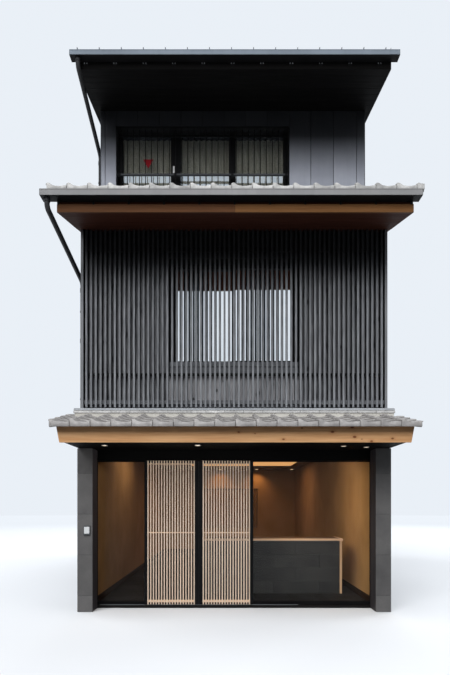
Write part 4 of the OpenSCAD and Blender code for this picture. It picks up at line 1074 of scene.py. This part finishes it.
def curtain_cloth(name, light, dark):
    """Woven curtain cloth: warp and weft, slubs, and folds that differ a little in tone"""
    paint = new_paint(name)
    threads = [cloud(paint, spot(paint, scale), 0.0033, 2) for scale in ((1, 1, 0.02), (0.02, 1, 1))]
    mesh = maths(paint, *threads, "MULTIPLY")
    slub = between(paint, cloud(paint, spot(paint, (1, 1, 0.15)), 0.03, 3), 0.35, 0.7)
    colour = blend(paint, slub, light, dark)
    colour = blend(paint, between(paint, mesh, 0.15, 0.4, 0.25, 0), colour, dark)
    return surface(paint, {"Base Color": colour, "Roughness": 0.85, "Sheen Weight": 0.25,
                           "Normal": bump(paint, mesh, 0.0005, 0.6)})


def curtain_rail(name, x0, x1, d, z, paint):
    """A flat rail screwed to the wall indoors, over a window"""
    rail = slab(name, (x0, depth(d - 0.020), z), (x1, depth(d + 0.020), z + 0.022), 0.004, 2)
    return fixed(painted(rail, paint))


def hung(name, x0, x1, z0, z1, d, pleats, deep, cloth):
    """Hangs one curtain from its rail: cut flat, it is as wide as its cloth divided by its drop"""
    piece = painted(pleated(name, x0, x1, z0, z1, depth(d), pleats, deep), cloth)
    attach(piece, "house")


CURTAIN2_D, CURTAIN2_Z0, RAIL2_Z, UNDER_RAIL = 0.495, 3.690, 5.240, 0.002
white_cloth = curtain_cloth("white_cloth", tint(226, 230, 232), tint(196, 202, 206))
rail2 = curtain_rail("second_curtain_rail", -0.950, 0.950, CURTAIN2_D, RAIL2_Z,
                     powder_coat("rail_white", tint(190, 190, 188), tint(168, 168, 166)))
for side, x0, x1 in (("left", -0.945, -0.010), ("right", 0.010, 0.945)):
    hung("second_curtain_" + side, x0, x1, CURTAIN2_Z0, RAIL2_Z - UNDER_RAIL, CURTAIN2_D, 11, 0.030,
         white_cloth)


# Lattice of the second storey: 63 charcoal-stained slats notched over three black rails, a
# zinc-faced board at each end, and behind each gap a board nailed to a black backing.
SLAT_PITCH, SLAT_W, SLAT_HALF_N = 0.07085, 0.030, 31
LATTICE_D, LATTICE_Z, LATTICE_TOP, LATTICE_HALF = 0.100, 3.020, 5.662, 2.239
RAIL_D0, RAIL_D1, END_T, END_D1, END_Z0 = 0.126, 0.165, 0.040, 0.290, 2.980
# The slats and screen boards darken from 4.80 m up to 5.34 m: painted shade under the middle eave
EAVE_SHADE_SPAN = (4.80, 5.34, 0.10)
one = slab("slat", (-SLAT_W / 2, depth(LATTICE_D), LATTICE_Z),
           (SLAT_W / 2, depth(LATTICE_D + 0.030), LATTICE_TOP), 0.002)
slats = copies("lattice_slats", one, [
    (i * SLAT_PITCH + 0.0016 * (chance.random() - 0.5), 0.001 * chance.random(), 0)
    for i in range(-SLAT_HALF_N, SLAT_HALF_N + 1)])
painted(slats, board_wood("charcoal_slat", tint(146, 149, 154), tint(86, 88, 93), 2, streak=0.75, ring=0.010,
                          roughness=0.72, tones=0.16, relief=0.0009, gloss=0.15, eave_shade=EAVE_SHADE_SPAN))


def lattice_rail(name, z, height):
    """A rail that runs from one end board to the other"""
    return slab(name, (-LATTICE_HALF, depth(RAIL_D0), z),
                (LATTICE_HALF, depth(RAIL_D1), z + height), 0.003, 2)


lattice_rails = joined("lattice_rails", [
    lattice_rail("rail", 3.498, 0.036), lattice_rail("rail", 5.350, 0.060)])
painted(lattice_rails, black_metal)
foot_rail = lattice_rail("lattice_foot_rail", 3.070, 0.060)
painted(foot_rail, board_wood("charcoal_rail", tint(112, 114, 118), tint(60, 61, 65), 0, streak=0.75,
                              ring=0.012, roughness=0.72, tones=0.1, relief=0.0009, gloss=0.15))
end_outline = [(depth(LATTICE_D), END_Z0), (depth(END_D1), END_Z0),
               (depth(END_D1), roof_under(END_D1) - 0.002),
               (depth(LATTICE_D), roof_under(LATTICE_D) - 0.002)]
end_boards = joined("lattice_end_boards", [
    eased(outline_piece("end", end_outline, 0, x, x + END_T), 0.003)
    for x in (-LATTICE_HALF - END_T, LATTICE_HALF)])
painted(end_boards, black_metal, sheet_steel("end_zinc", tint(128, 130, 134), tint(98, 100, 104), 0.4, 0.45))
for face in end_boards.data.polygons:
    face.material_index = int(face.normal.y < -0.5)
for piece, slot in ((slats, "dark_wood"), (lattice_rails, "black_metal"), (foot_rail, "dark_wood"),
                    (end_boards, "dark_wood")):
    fixed(piece, "lattice")

BOARD_W, BOARD_D0, BACKING_D0, WALL2_D = 0.045, 0.195, 0.210, 0.230
LOW_BOARD_Z0, LOW_BOARD_Z1, HIGH_BOARD_Z0, SCREEN_TOP = 3.034, 3.512, 3.550, 5.688
columns = range(-SLAT_HALF_N, SLAT_HALF_N)
at_window = [i for i in columns if -14 <= i < 14]
beside = [i for i in columns if i not in at_window]
board_rows = []
for members, z0, z1 in ((beside, LOW_BOARD_Z0, LOW_BOARD_Z1), (at_window, LOW_BOARD_Z0, LOW_BOARD_Z1),
                        (beside, HIGH_BOARD_Z0, SCREEN_TOP), (at_window, 5.272, SCREEN_TOP)):
    one = slab("board", (-BOARD_W / 2, depth(BOARD_D0), z0), (BOARD_W / 2, depth(BACKING_D0), z1), 0.002)
    board_rows.append(copies("boards", one, [
        ((i + 0.5) * SLAT_PITCH + 0.003 * (chance.random() - 0.5), 0.001 * chance.random(), 0)
        for i in members]))
low_boards = board_rows.pop(1)
low_boards.name = low_boards.data.name = "screen_boards_below_window"
screen_boards = joined("screen_boards", board_rows)
foot_boards = joined("second_window_foot_boards", [
    slab("board", (-0.968, depth(0.200), z0), (0.968, depth(0.228), z1), 0.004, 2)
    for z0, z1 in ((3.545, 3.642), (3.651, 3.722))])
EDGE_X, OPENING_HALF, BACK_Z0, BACK_Z1, OPENING_Z0, OPENING_Z1 = 2.195, 0.970, 3.030, 3.505, 3.565, 5.271
backing = joined("screen_backing", [
    slab("backing", (x0, depth(BACKING_D0), z0), (x1, depth(WALL2_D), z1), 0.002) for x0, x1, z0, z1 in (
        (-EDGE_X, EDGE_X, BACK_Z0, BACK_Z1), (-EDGE_X, -OPENING_HALF, OPENING_Z0, SCREEN_TOP),
        (OPENING_HALF, EDGE_X, OPENING_Z0, SCREEN_TOP),
        (-OPENING_HALF, OPENING_HALF, OPENING_Z1, SCREEN_TOP))] + [
    slab("edge", (s * x0, depth(BACKING_D0 + 0.001), z0),
         (s * (LATTICE_HALF - 0.0005), depth(WALL2_D), z1), 0.002)
    for s in (-1, 1) for x0, z0, z1 in ((EDGE_X + 0.001, 3.060, SCREEN_TOP), (2.120, 2.982, 3.059))])
# The boards below the window get a lighter copy of the board paint: painted light that offsets the slats'
# shadow
for piece, paint in (
        (screen_boards, board_wood("charcoal_board", tint(122, 123, 127), tint(60, 61, 65), 2, knots=0.30,
                                   knot_colour=tint(52, 52, 55), streak=0.8, ring=0.014, roughness=0.75,
                                   tones=0.25, relief=0.0009, gloss=0.15, eave_shade=EAVE_SHADE_SPAN)),
        (low_boards, board_wood("board_painted_light", tint(174, 174, 178), tint(110, 111, 115), 2, knots=0.24,
                                knot_colour=tint(60, 60, 62), streak=0.6, ring=0.014, roughness=0.75,
                                tones=0.16, relief=0.0009, gloss=0.15)),
        (foot_boards, board_wood("foot_board_wood", tint(116, 119, 124), tint(78, 80, 84), 0, streak=0.6,
                                 roughness=0.7, relief=0.0008, gloss=0.15)),
        (backing, board_wood("backing_black", tint(16, 16, 17), tint(9, 9, 10), 2, gloss=0.08))):
    fixed(painted(piece, paint), "board_screen")


# Middle eave: brown soffit boards nailed under the sloping rafters, their colour darkened as painted
# shade, and a brown fascia in two lengths of slightly different wood, butted in the middle.
def soffit_board(under, d0, d1, thick, half, edge):
    """One board nailed up under the slope of a roof, whose underside follows from the depth"""
    outline = [(depth(d), under(d) - t) for d, t in ((d0, thick), (d1, thick), (d1, -0.001), (d0, -0.001))]
    return eased(outline_piece("board", outline, 0, -half, half), edge, 1)


SOFFIT_BOARD, SOFFIT_T, SOFFIT_GAP = 0.1470, 0.005, 0.0025
# The soffit's dark brown is the wood's brown darkened as painted shade under the eave
soffit_brown_and_shade = board_wood("soffit_brown_and_shade", tint(70, 38, 28), tint(42, 22, 16), 0, streak=0.5, roughness=0.6,
                          gloss=0.06)
painted(frame["nodes"]["middle_roof_deck"], soffit_brown_and_shade)
boards = []
for k in range(6):
    d0 = FASCIA_D1 + k * SOFFIT_BOARD
    boards.append(soffit_board(roof_under, d0, d0 + SOFFIT_BOARD - SOFFIT_GAP, SOFFIT_T, 2.329, 0.0012))
fixed(painted(joined("middle_soffit_boards", boards), soffit_brown_and_shade))

FASCIA_Z0, FASCIA_Z1 = 5.391, 5.498
for side, x0, x1, light, dark in (("left", -2.330, -0.0058, tint(94, 60, 34), tint(64, 39, 22)),
                                  ("right", -0.0042, 2.330, tint(118, 81, 46), tint(84, 54, 29))):
    half = slab(side + "_middle_fascia", (x0, depth(FASCIA_D0), FASCIA_Z0), (x1, depth(FASCIA_D1), FASCIA_Z1),
                0.003, 2)
    painted(half, board_wood(side + "_fascia_brown", light, dark, 0, streak=0.5, ring=0.02, roughness=0.5))
    fixed(half, "middle_fascia")


# Middle roof: nine courses of the same smoked pantiles, closed by a roll at the right verge,
# with skirts at both verges and a zinc flashing dressed over the top course at the wall.
MID_D, MID_Z0, MID_COURSES, MID_HANG = -0.880, 5.625, 9, 0.034
MID_ROOF, MID_X = (MID_D, MID_Z0, MID_SLOPE), -(TILE_N * TILE_W + ROLL_W) / 2
roll_x = MID_X + TILE_N * TILE_W
middle_tiles = tile_courses("middle_tiles", MID_ROOF, MID_X, MID_COURSES)
middle_rolls = copies("middle_verge_rolls", pantile("roll", steps(CURL_X, ROLL_W, 7)), [
    settled(on_roof(MID_ROOF, roll_x, k)) for k in range(MID_COURSES)])
middle_faces = eave_face_row("middle_eave_faces", MID_ROOF, MID_X, MID_HANG)
face_z, face_d = MID_Z0 + TILE_LIFT * math.cos(math.atan(MID_SLOPE)), MID_D - 0.0262
roll_face = slab("roll_face", (roll_x + 0.001, depth(face_d), face_z - MID_HANG),
                 (-MID_X - 0.001, depth(face_d + 0.020), face_z + 0.040), 0.006, 2)
middle_skirts = verge_skirts("middle_verge_skirts", MID_ROOF, MID_X, MID_COURSES)
middle_faces = joined("middle_eave_faces", [middle_faces, roll_face])
# The middle roof's tiles get a lighter copy than the lower roof's: painted light where the roof is more open
# to the sky
smoked_tile = smoked_clay("smoked_tile", tint(206, 205, 203), tint(152, 151, 150))
for piece in (middle_tiles, middle_faces, middle_rolls, middle_skirts):
    fixed(painted(piece, smoked_tile), "middle_roof_tiles")

APRON_D0, APRON_D1, APRON_T, APRON_Z1 = 1.080, 1.312, 0.006, 6.465


def over_tiles(d, h):
    """A point of the flashing at a depth, so far above the roof boards' underside and the tiles"""
    return depth(d), LOW_Z + 0.255 - MID_SLOPE * (SETBACK - d) + h


apron = outline_piece("middle_roof_apron", [
    over_tiles(APRON_D0, 0.094), over_tiles(APRON_D0, 0.116), over_tiles(APRON_D1, 0.116),
    (depth(APRON_D1), APRON_Z1), (depth(APRON_D1 + APRON_T), APRON_Z1),
    over_tiles(APRON_D1 + APRON_T, 0.110), over_tiles(APRON_D0 + APRON_T, 0.110),
    over_tiles(APRON_D0 + APRON_T, 0.094)], 0, -2.330, 2.330)
fixed(painted(eased(apron, 0.0012, 1), zinc_sheet))


# Third storey's wall: flat blue-grey steel panels hung on the wall with open joints that show a
# near-black wall behind as painted shade, a black trim round the window opening, and folded corners.
# The wall behind the panels is painted near-black: painted shade in the open joints
painted(frame["nodes"]["front_wall_third"],
        sheet_steel("joint_shade_steel", tint(24, 25, 27), tint(16, 17, 18), 0.3, 0.6))
CLADDING_D, CLADDING_T, CLADDING_Z0, CLADDING_Z1 = 1.308, 0.012, 6.460, 8.364
WIN3_X0, WIN3_X1, WIN3_Z0, WIN3_Z1 = -2.000, 0.962, 6.550, 8.085
TRIM_W, TRIM_D0, TRIM_D1, SILL_H, GAP = 0.010, 1.298, 1.340, 0.036, 0.008
trim_x0, trim_x1, trim_z1 = WIN3_X0 - TRIM_W, WIN3_X1 + TRIM_W, WIN3_Z1 + TRIM_W
spans = []
for seam_line in ((-2.276, -2.202, trim_x0), (trim_x1, 1.345, 1.737, 2.134, 2.276)):
    spans += [(a, b, CLADDING_Z0, CLADDING_Z1) for a, b in zip(seam_line, seam_line[1:])]
over_window = steps(trim_x0, trim_x1, 8)
for a, b in zip(over_window, over_window[1:]):
    spans += [(a, b, CLADDING_Z0, WIN3_Z0 - SILL_H), (a, b, trim_z1, CLADDING_Z1)]
panels = joined("third_wall_panels", [
    slab("panel", (a + GAP / 2, depth(CLADDING_D), z0 + GAP / 2),
         (b - GAP / 2, depth(CLADDING_D + CLADDING_T), z1), 0.003, 2) for a, b, z0, z1 in spans])
# The panels darken from 7.15 m up to 7.93 m: painted shade under the top eave
fixed(painted(panels, sheet_steel("panel_steel", tint(160, 164, 175), tint(132, 136, 147), 0.25, 0.42, 0.0010,
                                  eave_shade=(7.15, 7.93, 0.07))))

window_trim = joined("third_window_trim", [
    slab("trim", (x0, depth(TRIM_D0), z0), (x1, depth(TRIM_D1), trim_z1), 0.003, 2) for x0, x1, z0 in (
        (trim_x0, WIN3_X0, WIN3_Z0), (WIN3_X1, trim_x1, WIN3_Z0), (WIN3_X0, WIN3_X1, WIN3_Z1))] + [
    slab("sill", (trim_x0, depth(TRIM_D0 - 0.03), WIN3_Z0 - SILL_H),
         (trim_x1, depth(1.435), WIN3_Z0 - 0.002), 0.004, 2)])
fixed(painted(window_trim, black_metal))


# Third storey's window: one light and a pair of sliding lights in a wide black frame, a white
# latch on the post, gathered curtains indoors, and the red film that marks a way in for rescue.
WIN3_D = 1.440
WIN3_LIGHTS = [(-1.925, -1.085), (-0.908, -0.068), (0.047, 0.887)]
glazed(*window("third_window", WIN3_X0, WIN3_X1, WIN3_Z0, WIN3_Z1, depth(WIN3_D), 1, WIN3_LIGHTS),
       pane_glass("blue_pane", 0.33, (0.76, 0.85, 0.96, 1)), "third_window_frame", "third_window_glass")

LATCH_X0, LATCH_X1, LATCH_Z0, LATCH_Z1 = -1.046, -1.016, 7.378, 7.498
latch = joined("third_window_latch", [
    slab("plate", (LATCH_X0, depth(WIN3_D - 0.006), LATCH_Z0), (LATCH_X1, depth(WIN3_D), LATCH_Z1), 0.002, 2),
    slab("lever", (LATCH_X0 + 0.006, depth(WIN3_D - 0.018), LATCH_Z0 + 0.030),
         (LATCH_X1 - 0.006, depth(WIN3_D - 0.005), LATCH_Z1 - 0.010), 0.004, 3)])
fixed(painted(latch, powder_coat("latch_white", tint(224, 226, 228), tint(200, 202, 204), 0.3)))

FILM_X, FILM_Z, FILM_HALF, FILM_D = -1.484, 7.645, 0.090, 1.4808
film = outline_piece("red_triangle_film", [
    (FILM_X - FILM_HALF, FILM_Z), (FILM_X + FILM_HALF, FILM_Z), (FILM_X, FILM_Z - 1.73 * FILM_HALF)], 1,
    depth(FILM_D), depth(FILM_D + 0.001))
painted(film, powder_coat("film_red", tint(134, 20, 30), tint(112, 16, 24), 0.35))
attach(film, "house")

CURTAIN3_D, CURTAIN3_Z0, RAIL3_Z = 1.580, 6.560, 8.050
# The cloth is painted far lighter than its grey-green: painted light that makes up for the light the panes
# hold back
grey_green_cloth = curtain_cloth("grey_green_cloth", tint(236, 234, 220), tint(196, 194, 178))
rail3 = curtain_rail("third_curtain_rail", -1.990, 0.950, CURTAIN3_D, RAIL3_Z, black_metal)
for name, x0, x1 in (("left", -1.985, -1.040), ("middle", -0.960, -0.010), ("right", 0.000, 0.940)):
    hung("third_curtain_" + name, x0, x1, CURTAIN3_Z0, RAIL3_Z - UNDER_RAIL, CURTAIN3_D, 10, 0.030,
         grey_green_cloth)


# Grille of the third storey's window: 28 round bars welded between flat rails, and a square
# guard rail bolted on through four round fixings with cap screws.
GRILLE_Y, BAR_R, BAR_N, BAR_X, BAR_PITCH = depth(1.370), 0.007, 28, -1.9365, 0.105
FLAT_ZS, FLAT_H, GUARD_Z, GUARD_H = (6.590, 7.955, 8.015), 0.012, 7.275, 0.032
bpy.ops.object.select_all(action="DESELECT")
bpy.ops.mesh.primitive_cylinder_add(vertices=12, radius=BAR_R, depth=WIN3_Z1 - WIN3_Z0,
                                    location=(BAR_X, GRILLE_Y, (WIN3_Z0 + WIN3_Z1) / 2))
bar = bpy.context.object
bpy.ops.object.transform_apply(location=True, rotation=True, scale=True)
bar = smooth(eased(bar, 0.0015, 1, 60), 50)
bars = copies("grille_bars", bar, [(i * BAR_PITCH, 0, 0) for i in range(BAR_N)])
flats = [slab("flat", (WIN3_X0, GRILLE_Y - 0.010, z), (WIN3_X1, GRILLE_Y + 0.010, z + FLAT_H), 0.0015, 2)
         for z in FLAT_ZS]
guard = slab("third_guard_rail", (WIN3_X0, GRILLE_Y - GUARD_H, GUARD_Z),
             (WIN3_X1, GRILLE_Y, GUARD_Z + GUARD_H), 0.004, 3)
fixing = turned("fixing", 0.025, 0.010,
                [(0.003, -0.002), (0.008, 0.001), (0.002, -0.006), (0.002, 0.003)], 24)
fixings = copies("fixings", fixing, [
    Matrix.Translation((x, GRILLE_Y - 0.037, GUARD_Z + GUARD_H / 2)) @ Matrix.Rotation(-math.pi / 2, 4, "X")
    for x in (-1.9625, -0.9965, -0.0105, 0.9245)])
painted(guard, powder_coat("guard_grey", tint(50, 52, 55), tint(66, 68, 71)))
grille = painted(joined("third_window_grille", [bars, fixings] + flats), black_metal)
for piece in (grille, guard):
    fixed(piece, "window_grille")


# Top roof: soffit boards under both eaves, painted near-black as painted shade, folded steel verges,
# and grey sheet metal in narrow pans whose edges are folded up and capped with standing seams, under a ridge
# cap.
TOP_HALF, EAVE_D, BACK_D, DECK_T = 2.375, 0.250, 9.550, 0.265
# The near-black of the top soffits and roof edges is painted shade
soffit_shade_black = board_wood("soffit_shade_black", tint(13, 12, 12), tint(7, 7, 7), 0, streak=0.4, roughness=0.6,
                          tones=0.25, relief=0.0004, gloss=0.06)
for name in ("top_roof_front", "top_roof_back"):
    painted(frame["nodes"][name], soffit_shade_black)
boards = []
for start, end, n in ((0.252, 1.302, 7), (9.125, 9.548, 3)):
    for d0, d1 in zip(steps(start, end, n), steps(start, end, n)[1:]):
        boards.append(soffit_board(top_under, d0, d1 - SOFFIT_GAP, 0.006, TOP_HALF - 0.001, 0.0015))
fixed(painted(joined("top_soffit_boards", boards), soffit_shade_black))

verge_line = [(depth(d), top_under(d) - 0.008) for d in (EAVE_D, RIDGE_D, BACK_D)] + [
    (depth(d), top_under(d) + DECK_T + 0.016) for d in (BACK_D, RIDGE_D, EAVE_D)]
verge = eased(outline_piece("right_verge", verge_line, 0, TOP_HALF, TOP_HALF + 0.010), 0.003)
fixed(painted(joined("top_verges", [verge, mirrored("left_verge", verge)]), trim_steel))

SEAM_PITCH, SEAM_N, SEAM_SHIFT, PAN_T, PAN_OUT = 0.333, 15, -0.036, 0.008, 0.030
FOLD_H, FOLD_T = 0.032, 0.0015
seam_xs = [(i - (SEAM_N - 1) / 2) * SEAM_PITCH + SEAM_SHIFT for i in range(SEAM_N)]
pan_edges = [-TOP_HALF + 0.001] + seam_xs + [TOP_HALF - 0.001]
roof_pans, roof_seams = [], []
for d, turn in ((EAVE_D, 0), (BACK_D, math.pi)):
    reach = (abs(RIDGE_D - d) + PAN_OUT) / math.cos(math.atan(TOP_SLOPE)) - 0.006 - PAN_OUT
    place = (Matrix.Translation((0, depth(d), top_under(d) + DECK_T + 0.0002)) @ Matrix.Rotation(turn, 4, "Z")
             @ Matrix.Rotation(math.atan(TOP_SLOPE), 4, "X"))
    if turn:
        seam_xs, pan_edges = [-x for x in seam_xs], sorted(-x for x in pan_edges)
    for a, b in zip(pan_edges, pan_edges[1:]):
        a, b = a + FOLD_T, b - FOLD_T
        pan = outline_piece("pan", [
            (a, 0), (b, 0), (b, FOLD_H), (b - FOLD_T, FOLD_H), (b - FOLD_T, PAN_T), (a + FOLD_T, PAN_T),
            (a + FOLD_T, FOLD_H), (a, FOLD_H)], 1, -PAN_OUT, reach)
        pan.data.transform(place)
        roof_pans.append(pan)
    for x in seam_xs:
        seam = slab("seam", (x - 0.006, -PAN_OUT - 0.002, 0.004), (x + 0.006, reach, 0.038), 0.004, 2)
        seam.data.transform(place)
        roof_seams.append(seam)
pans = joined("top_roof_pans", roof_pans)
seams = smooth(joined("top_roof_seams", roof_seams), 50)
roof_steel = sheet_steel("roof_steel", tint(128, 131, 136), tint(96, 99, 104), 0.3, 0.40, 0.0014, 0.2)
for piece in (pans, seams):
    fixed(painted(piece, roof_steel), "metal_roof")
painted(eased(frame["nodes"]["ridge_cap"], 0.003), roof_steel)


# Gutters: box gutters folded from sheet behind a grey front face with a drip lip, closed
# by end caps, and held by brackets: small tabs over the brown fascia, bolted plates at the top.
# The troughs, end caps and brackets are painted near-black: painted shade under the grey face.
TROUGH_IN, CAP_T, GUTTER_T = 0.0035, 0.0035, 0.003
BRACKET_N, TAB_PITCH, PLATE_PITCH = 11, 0.4607, 0.4447
lip_grey = sheet_steel("lip_grey", tint(146, 146, 147), tint(122, 122, 124), 0.25, 0.42, 0.0004)
lip_blue = sheet_steel("lip_blue", tint(120, 130, 141), tint(100, 109, 119), 0.25, 0.42, 0.0004)
troughs, lips, brackets, bolts = [], [], [], []
for x0, x1, y0, z0, out, wide, tabbed in ((-2.512, 2.400, depth(-0.940), 5.539, 1, 0.155, True),
                                          (-2.455, 2.475, depth(0.120), 8.2754, 1, 0.130, False),
                                          (-2.475, 2.475, depth(9.680), 8.387, -1, 0.130, False)):
    trough = [(TROUGH_IN, 0), (wide, 0), (wide, 0.095), (wide - GUTTER_T, 0.095), (wide - GUTTER_T, GUTTER_T),
              (TROUGH_IN + GUTTER_T, GUTTER_T), (TROUGH_IN + GUTTER_T, 0.074), (TROUGH_IN, 0.074)]
    cap = [(0, -0.002), (wide, -0.002), (wide, 0.096), (0, 0.080)]
    # On the top and back gutters the lip stops short, so the near-black trough shows below it as a painted
    # shadow line
    low = -0.001 if tabbed else 0.006
    lip = [(0, low), (GUTTER_T, low), (GUTTER_T, 0.0755), (0.014, 0.0755), (0.014, 0.079), (-GUTTER_T, 0.079),
           (-GUTTER_T, 0.071), (0, 0.069)]
    trough, cap, lip = [[(y0 + out * y, z0 + z) for y, z in shape] for shape in (trough, cap, lip)]
    troughs.append(outline_piece("trough", trough, 0, x0 + 0.003, x1 - 0.003))
    for x in (x0, x1 - CAP_T):
        troughs.append(outline_piece("end_cap", cap, 0, x, x + CAP_T))
    lips.append(painted(eased(outline_piece("lip", lip, 0, x0 - 0.0005, x1 + 0.0005), 0.001),
                        lip_grey if tabbed else lip_blue))
    for i in range(BRACKET_N):
        if tabbed:
            x = x0 + 0.200 + TAB_PITCH * i
            brackets += [slab("tab", (x - 0.0125, y0 + 0.122, z0 - 0.050),
                              (x + 0.0125, y0 + 0.1295, z0), 0.002),
                         slab("strap", (x - 0.0125, y0 + 0.010, z0 - 0.004),
                              (x + 0.0125, y0 + wide, z0 - 0.0002), 0.001)]
            continue
        x, face = x0 + 0.212 + PLATE_PITCH * i, y0 + out * (wide - 0.0005)
        brackets.append(slab("plate", (x - 0.030, face, z0 - 0.045),
                             (x + 0.030, face - out * 0.006, z0 - 0.0005), 0.002))
        for dx in (-0.019, 0.019):
            bolt = turned("bolt", 0.0075, 0.004, [(0.0015, -0.0015), (0.002, -0.003)], 12)
            bolt.data.transform(Matrix.Translation((x + dx, face - out * 0.008, z0 - 0.020))
                                @ Matrix.Rotation(-out * math.pi / 2, 4, "X"))
            bolts.append(bolt)
gutters, gutter_lips = joined("gutter_troughs", troughs), joined("gutter_lips", lips)
gutter_brackets, gutter_bolts = joined("gutter_brackets", brackets), joined("gutter_bolts", bolts)
# Near-black paint of troughs, caps and brackets: painted shade
gutter_shade_black = powder_coat("gutter_shade_black", tint(19, 19, 20), tint(33, 33, 35), 0.42, 0.10)
for piece, paint in ((gutters, gutter_shade_black), (gutter_brackets, gutter_shade_black), (gutter_bolts, stainless)):
    painted(piece, paint)
for piece, slot in ((gutters, "black_metal"), (gutter_lips, "roof_metal"), (gutter_brackets, "black_metal"),
                    (gutter_bolts, "bright_metal")):
    fixed(piece, "gutters")


# Downpipes: round black pipes that leave each gutter by a socket, slant back under the eave
# with swept bends, and run down the party wall in hinged clips.
PIPE_R, PIPE_X, BEND_R, PIPE_FOOT = 0.034, -2.335, 0.055, 0.060
CLIP_Z0, CLIP_PITCH, CLIP_HALF, COUPLING_ZS = 0.50, 1.35, 0.010, (4.10, 2.20)


def pipe(name, points, radius, sweep):
    """A tube along a line of points whose corners are swept"""
    spots = [Vector(point) for point in points]
    made = drawn_line(name, spots)
    bpy.ops.mesh.select_all(action="DESELECT")
    bpy.ops.object.mode_set(mode="OBJECT")
    for vertex in made.data.vertices:
        vertex.select = any((vertex.co - corner).length < 0.001 for corner in spots[1:-1])
    bpy.ops.object.mode_set(mode="EDIT")
    bpy.ops.mesh.bevel(offset=sweep, segments=7, affect="VERTICES")
    bpy.ops.object.mode_set(mode="OBJECT")
    bpy.ops.object.convert(target="CURVE")
    made = bpy.context.object
    made.data.bevel_depth = radius
    made.data.bevel_resolution = 5
    made.data.use_fill_caps = True
    bpy.ops.object.convert(target="MESH")
    made = bpy.context.object
    bpy.ops.object.transform_apply(location=True, rotation=True, scale=True)
    return smooth(made, 50)


def collar(name, over, height, profile, place):
    """A socket, coupling or clip ring round the pipe"""
    made = turned(name, PIPE_R + over, height, profile, 24)
    made.data.transform(Matrix.Translation(place))
    return made


pipes, clips = [], []
for x, y, z, wall_d, drop in ((-2.440, depth(-0.8625), 5.539, 0.400, 0.540),
                              (-2.345, depth(0.185), 8.275, 1.520, 0.556),
                              (-2.345, depth(9.615), 8.387, 8.900, 0.346)):
    wall_y, bend_z = depth(wall_d), z - drop
    pipes.append(pipe("downpipe", [(x, y, z + 0.002), (x, y, z - 0.116), (PIPE_X, wall_y, bend_z),
                                   (PIPE_X, wall_y, PIPE_FOOT)], PIPE_R, BEND_R))
    pipes.append(collar("sleeve", 0.005, 0.050, [(0.003, -0.004)], (x, y, z - 0.022)))
    for coupling_z in (bend_z - 0.12,) + COUPLING_ZS:
        if coupling_z < bend_z - 0.10:
            pipes.append(collar("sleeve", 0.004, 0.060, [(0.002, -0.003)], (PIPE_X, wall_y, coupling_z)))
    clip_z = CLIP_Z0
    while clip_z < bend_z - 0.25:
        low, high = clip_z - CLIP_HALF, clip_z + CLIP_HALF
        clips += [collar("ring", 0.0045, 0.022, [(0.002, -0.0015)], (PIPE_X, wall_y, clip_z)),
                  slab("arm", (PIPE_X + 0.020, wall_y - 0.012, low),
                       (-HALF_W - 0.003, wall_y + 0.012, high), 0.002),
                  slab("ears", (PIPE_X - 0.006, wall_y - PIPE_R - 0.018, low),
                       (PIPE_X + 0.006, wall_y - PIPE_R + 0.004, high), 0.002)]
        clip_z += CLIP_PITCH
pipe_grey = powder_coat("pipe_grey", tint(38, 38, 40), tint(56, 57, 59), 0.38, 0.25)
for piece in (joined("downpipe_runs", pipes), joined("downpipe_clips", clips)):
    fixed(painted(piece, pipe_grey), "downpipes")


# Rear windows: one per storey, two sliding sashes each, with gathered curtains indoors. The
# shop's is closed off by a heavy linen curtain.
REAR_LIGHTS = [(-0.790, -0.030), (0.030, 0.790)]
REAR_D, REAR_CURTAIN_D, RAIL_OVER, CURTAIN_BELOW = 9.080, 8.905, 0.030, 0.10
linen_cloth = curtain_cloth("linen_cloth", tint(150, 112, 70), tint(122, 90, 54))
rear_cloths = (linen_cloth, white_cloth, white_cloth)
frames, panes = [], []
for level, sill_z, cloth in zip(("ground", "second", "third"), WINDOW_SILLS, rear_cloths):
    head_z = sill_z + WINDOW_H
    one, glass = window("rear", -WINDOW_HALF, WINDOW_HALF, sill_z, head_z, depth(REAR_D), -1, REAR_LIGHTS)
    frames.append(one)
    panes.append(glass)
    rail = curtain_rail("rear_curtain_rail_" + level, -0.930, 0.930, REAR_CURTAIN_D,
                        head_z + RAIL_OVER, black_metal)
    for side, x0, x1 in (("left", -0.925, -0.003), ("right", 0.003, 0.925)):
        hung("rear_curtain_" + level + "_" + side, x0, x1, sill_z - CURTAIN_BELOW,
             head_z + (RAIL_OVER - UNDER_RAIL), REAR_CURTAIN_D, 10, 0.028, cloth)
glazed(joined("rear_frames", frames), joined("rear_panes", panes), pane_glass("window_pane", 0.76),
       "rear_window_frames", "rear_window_glass")
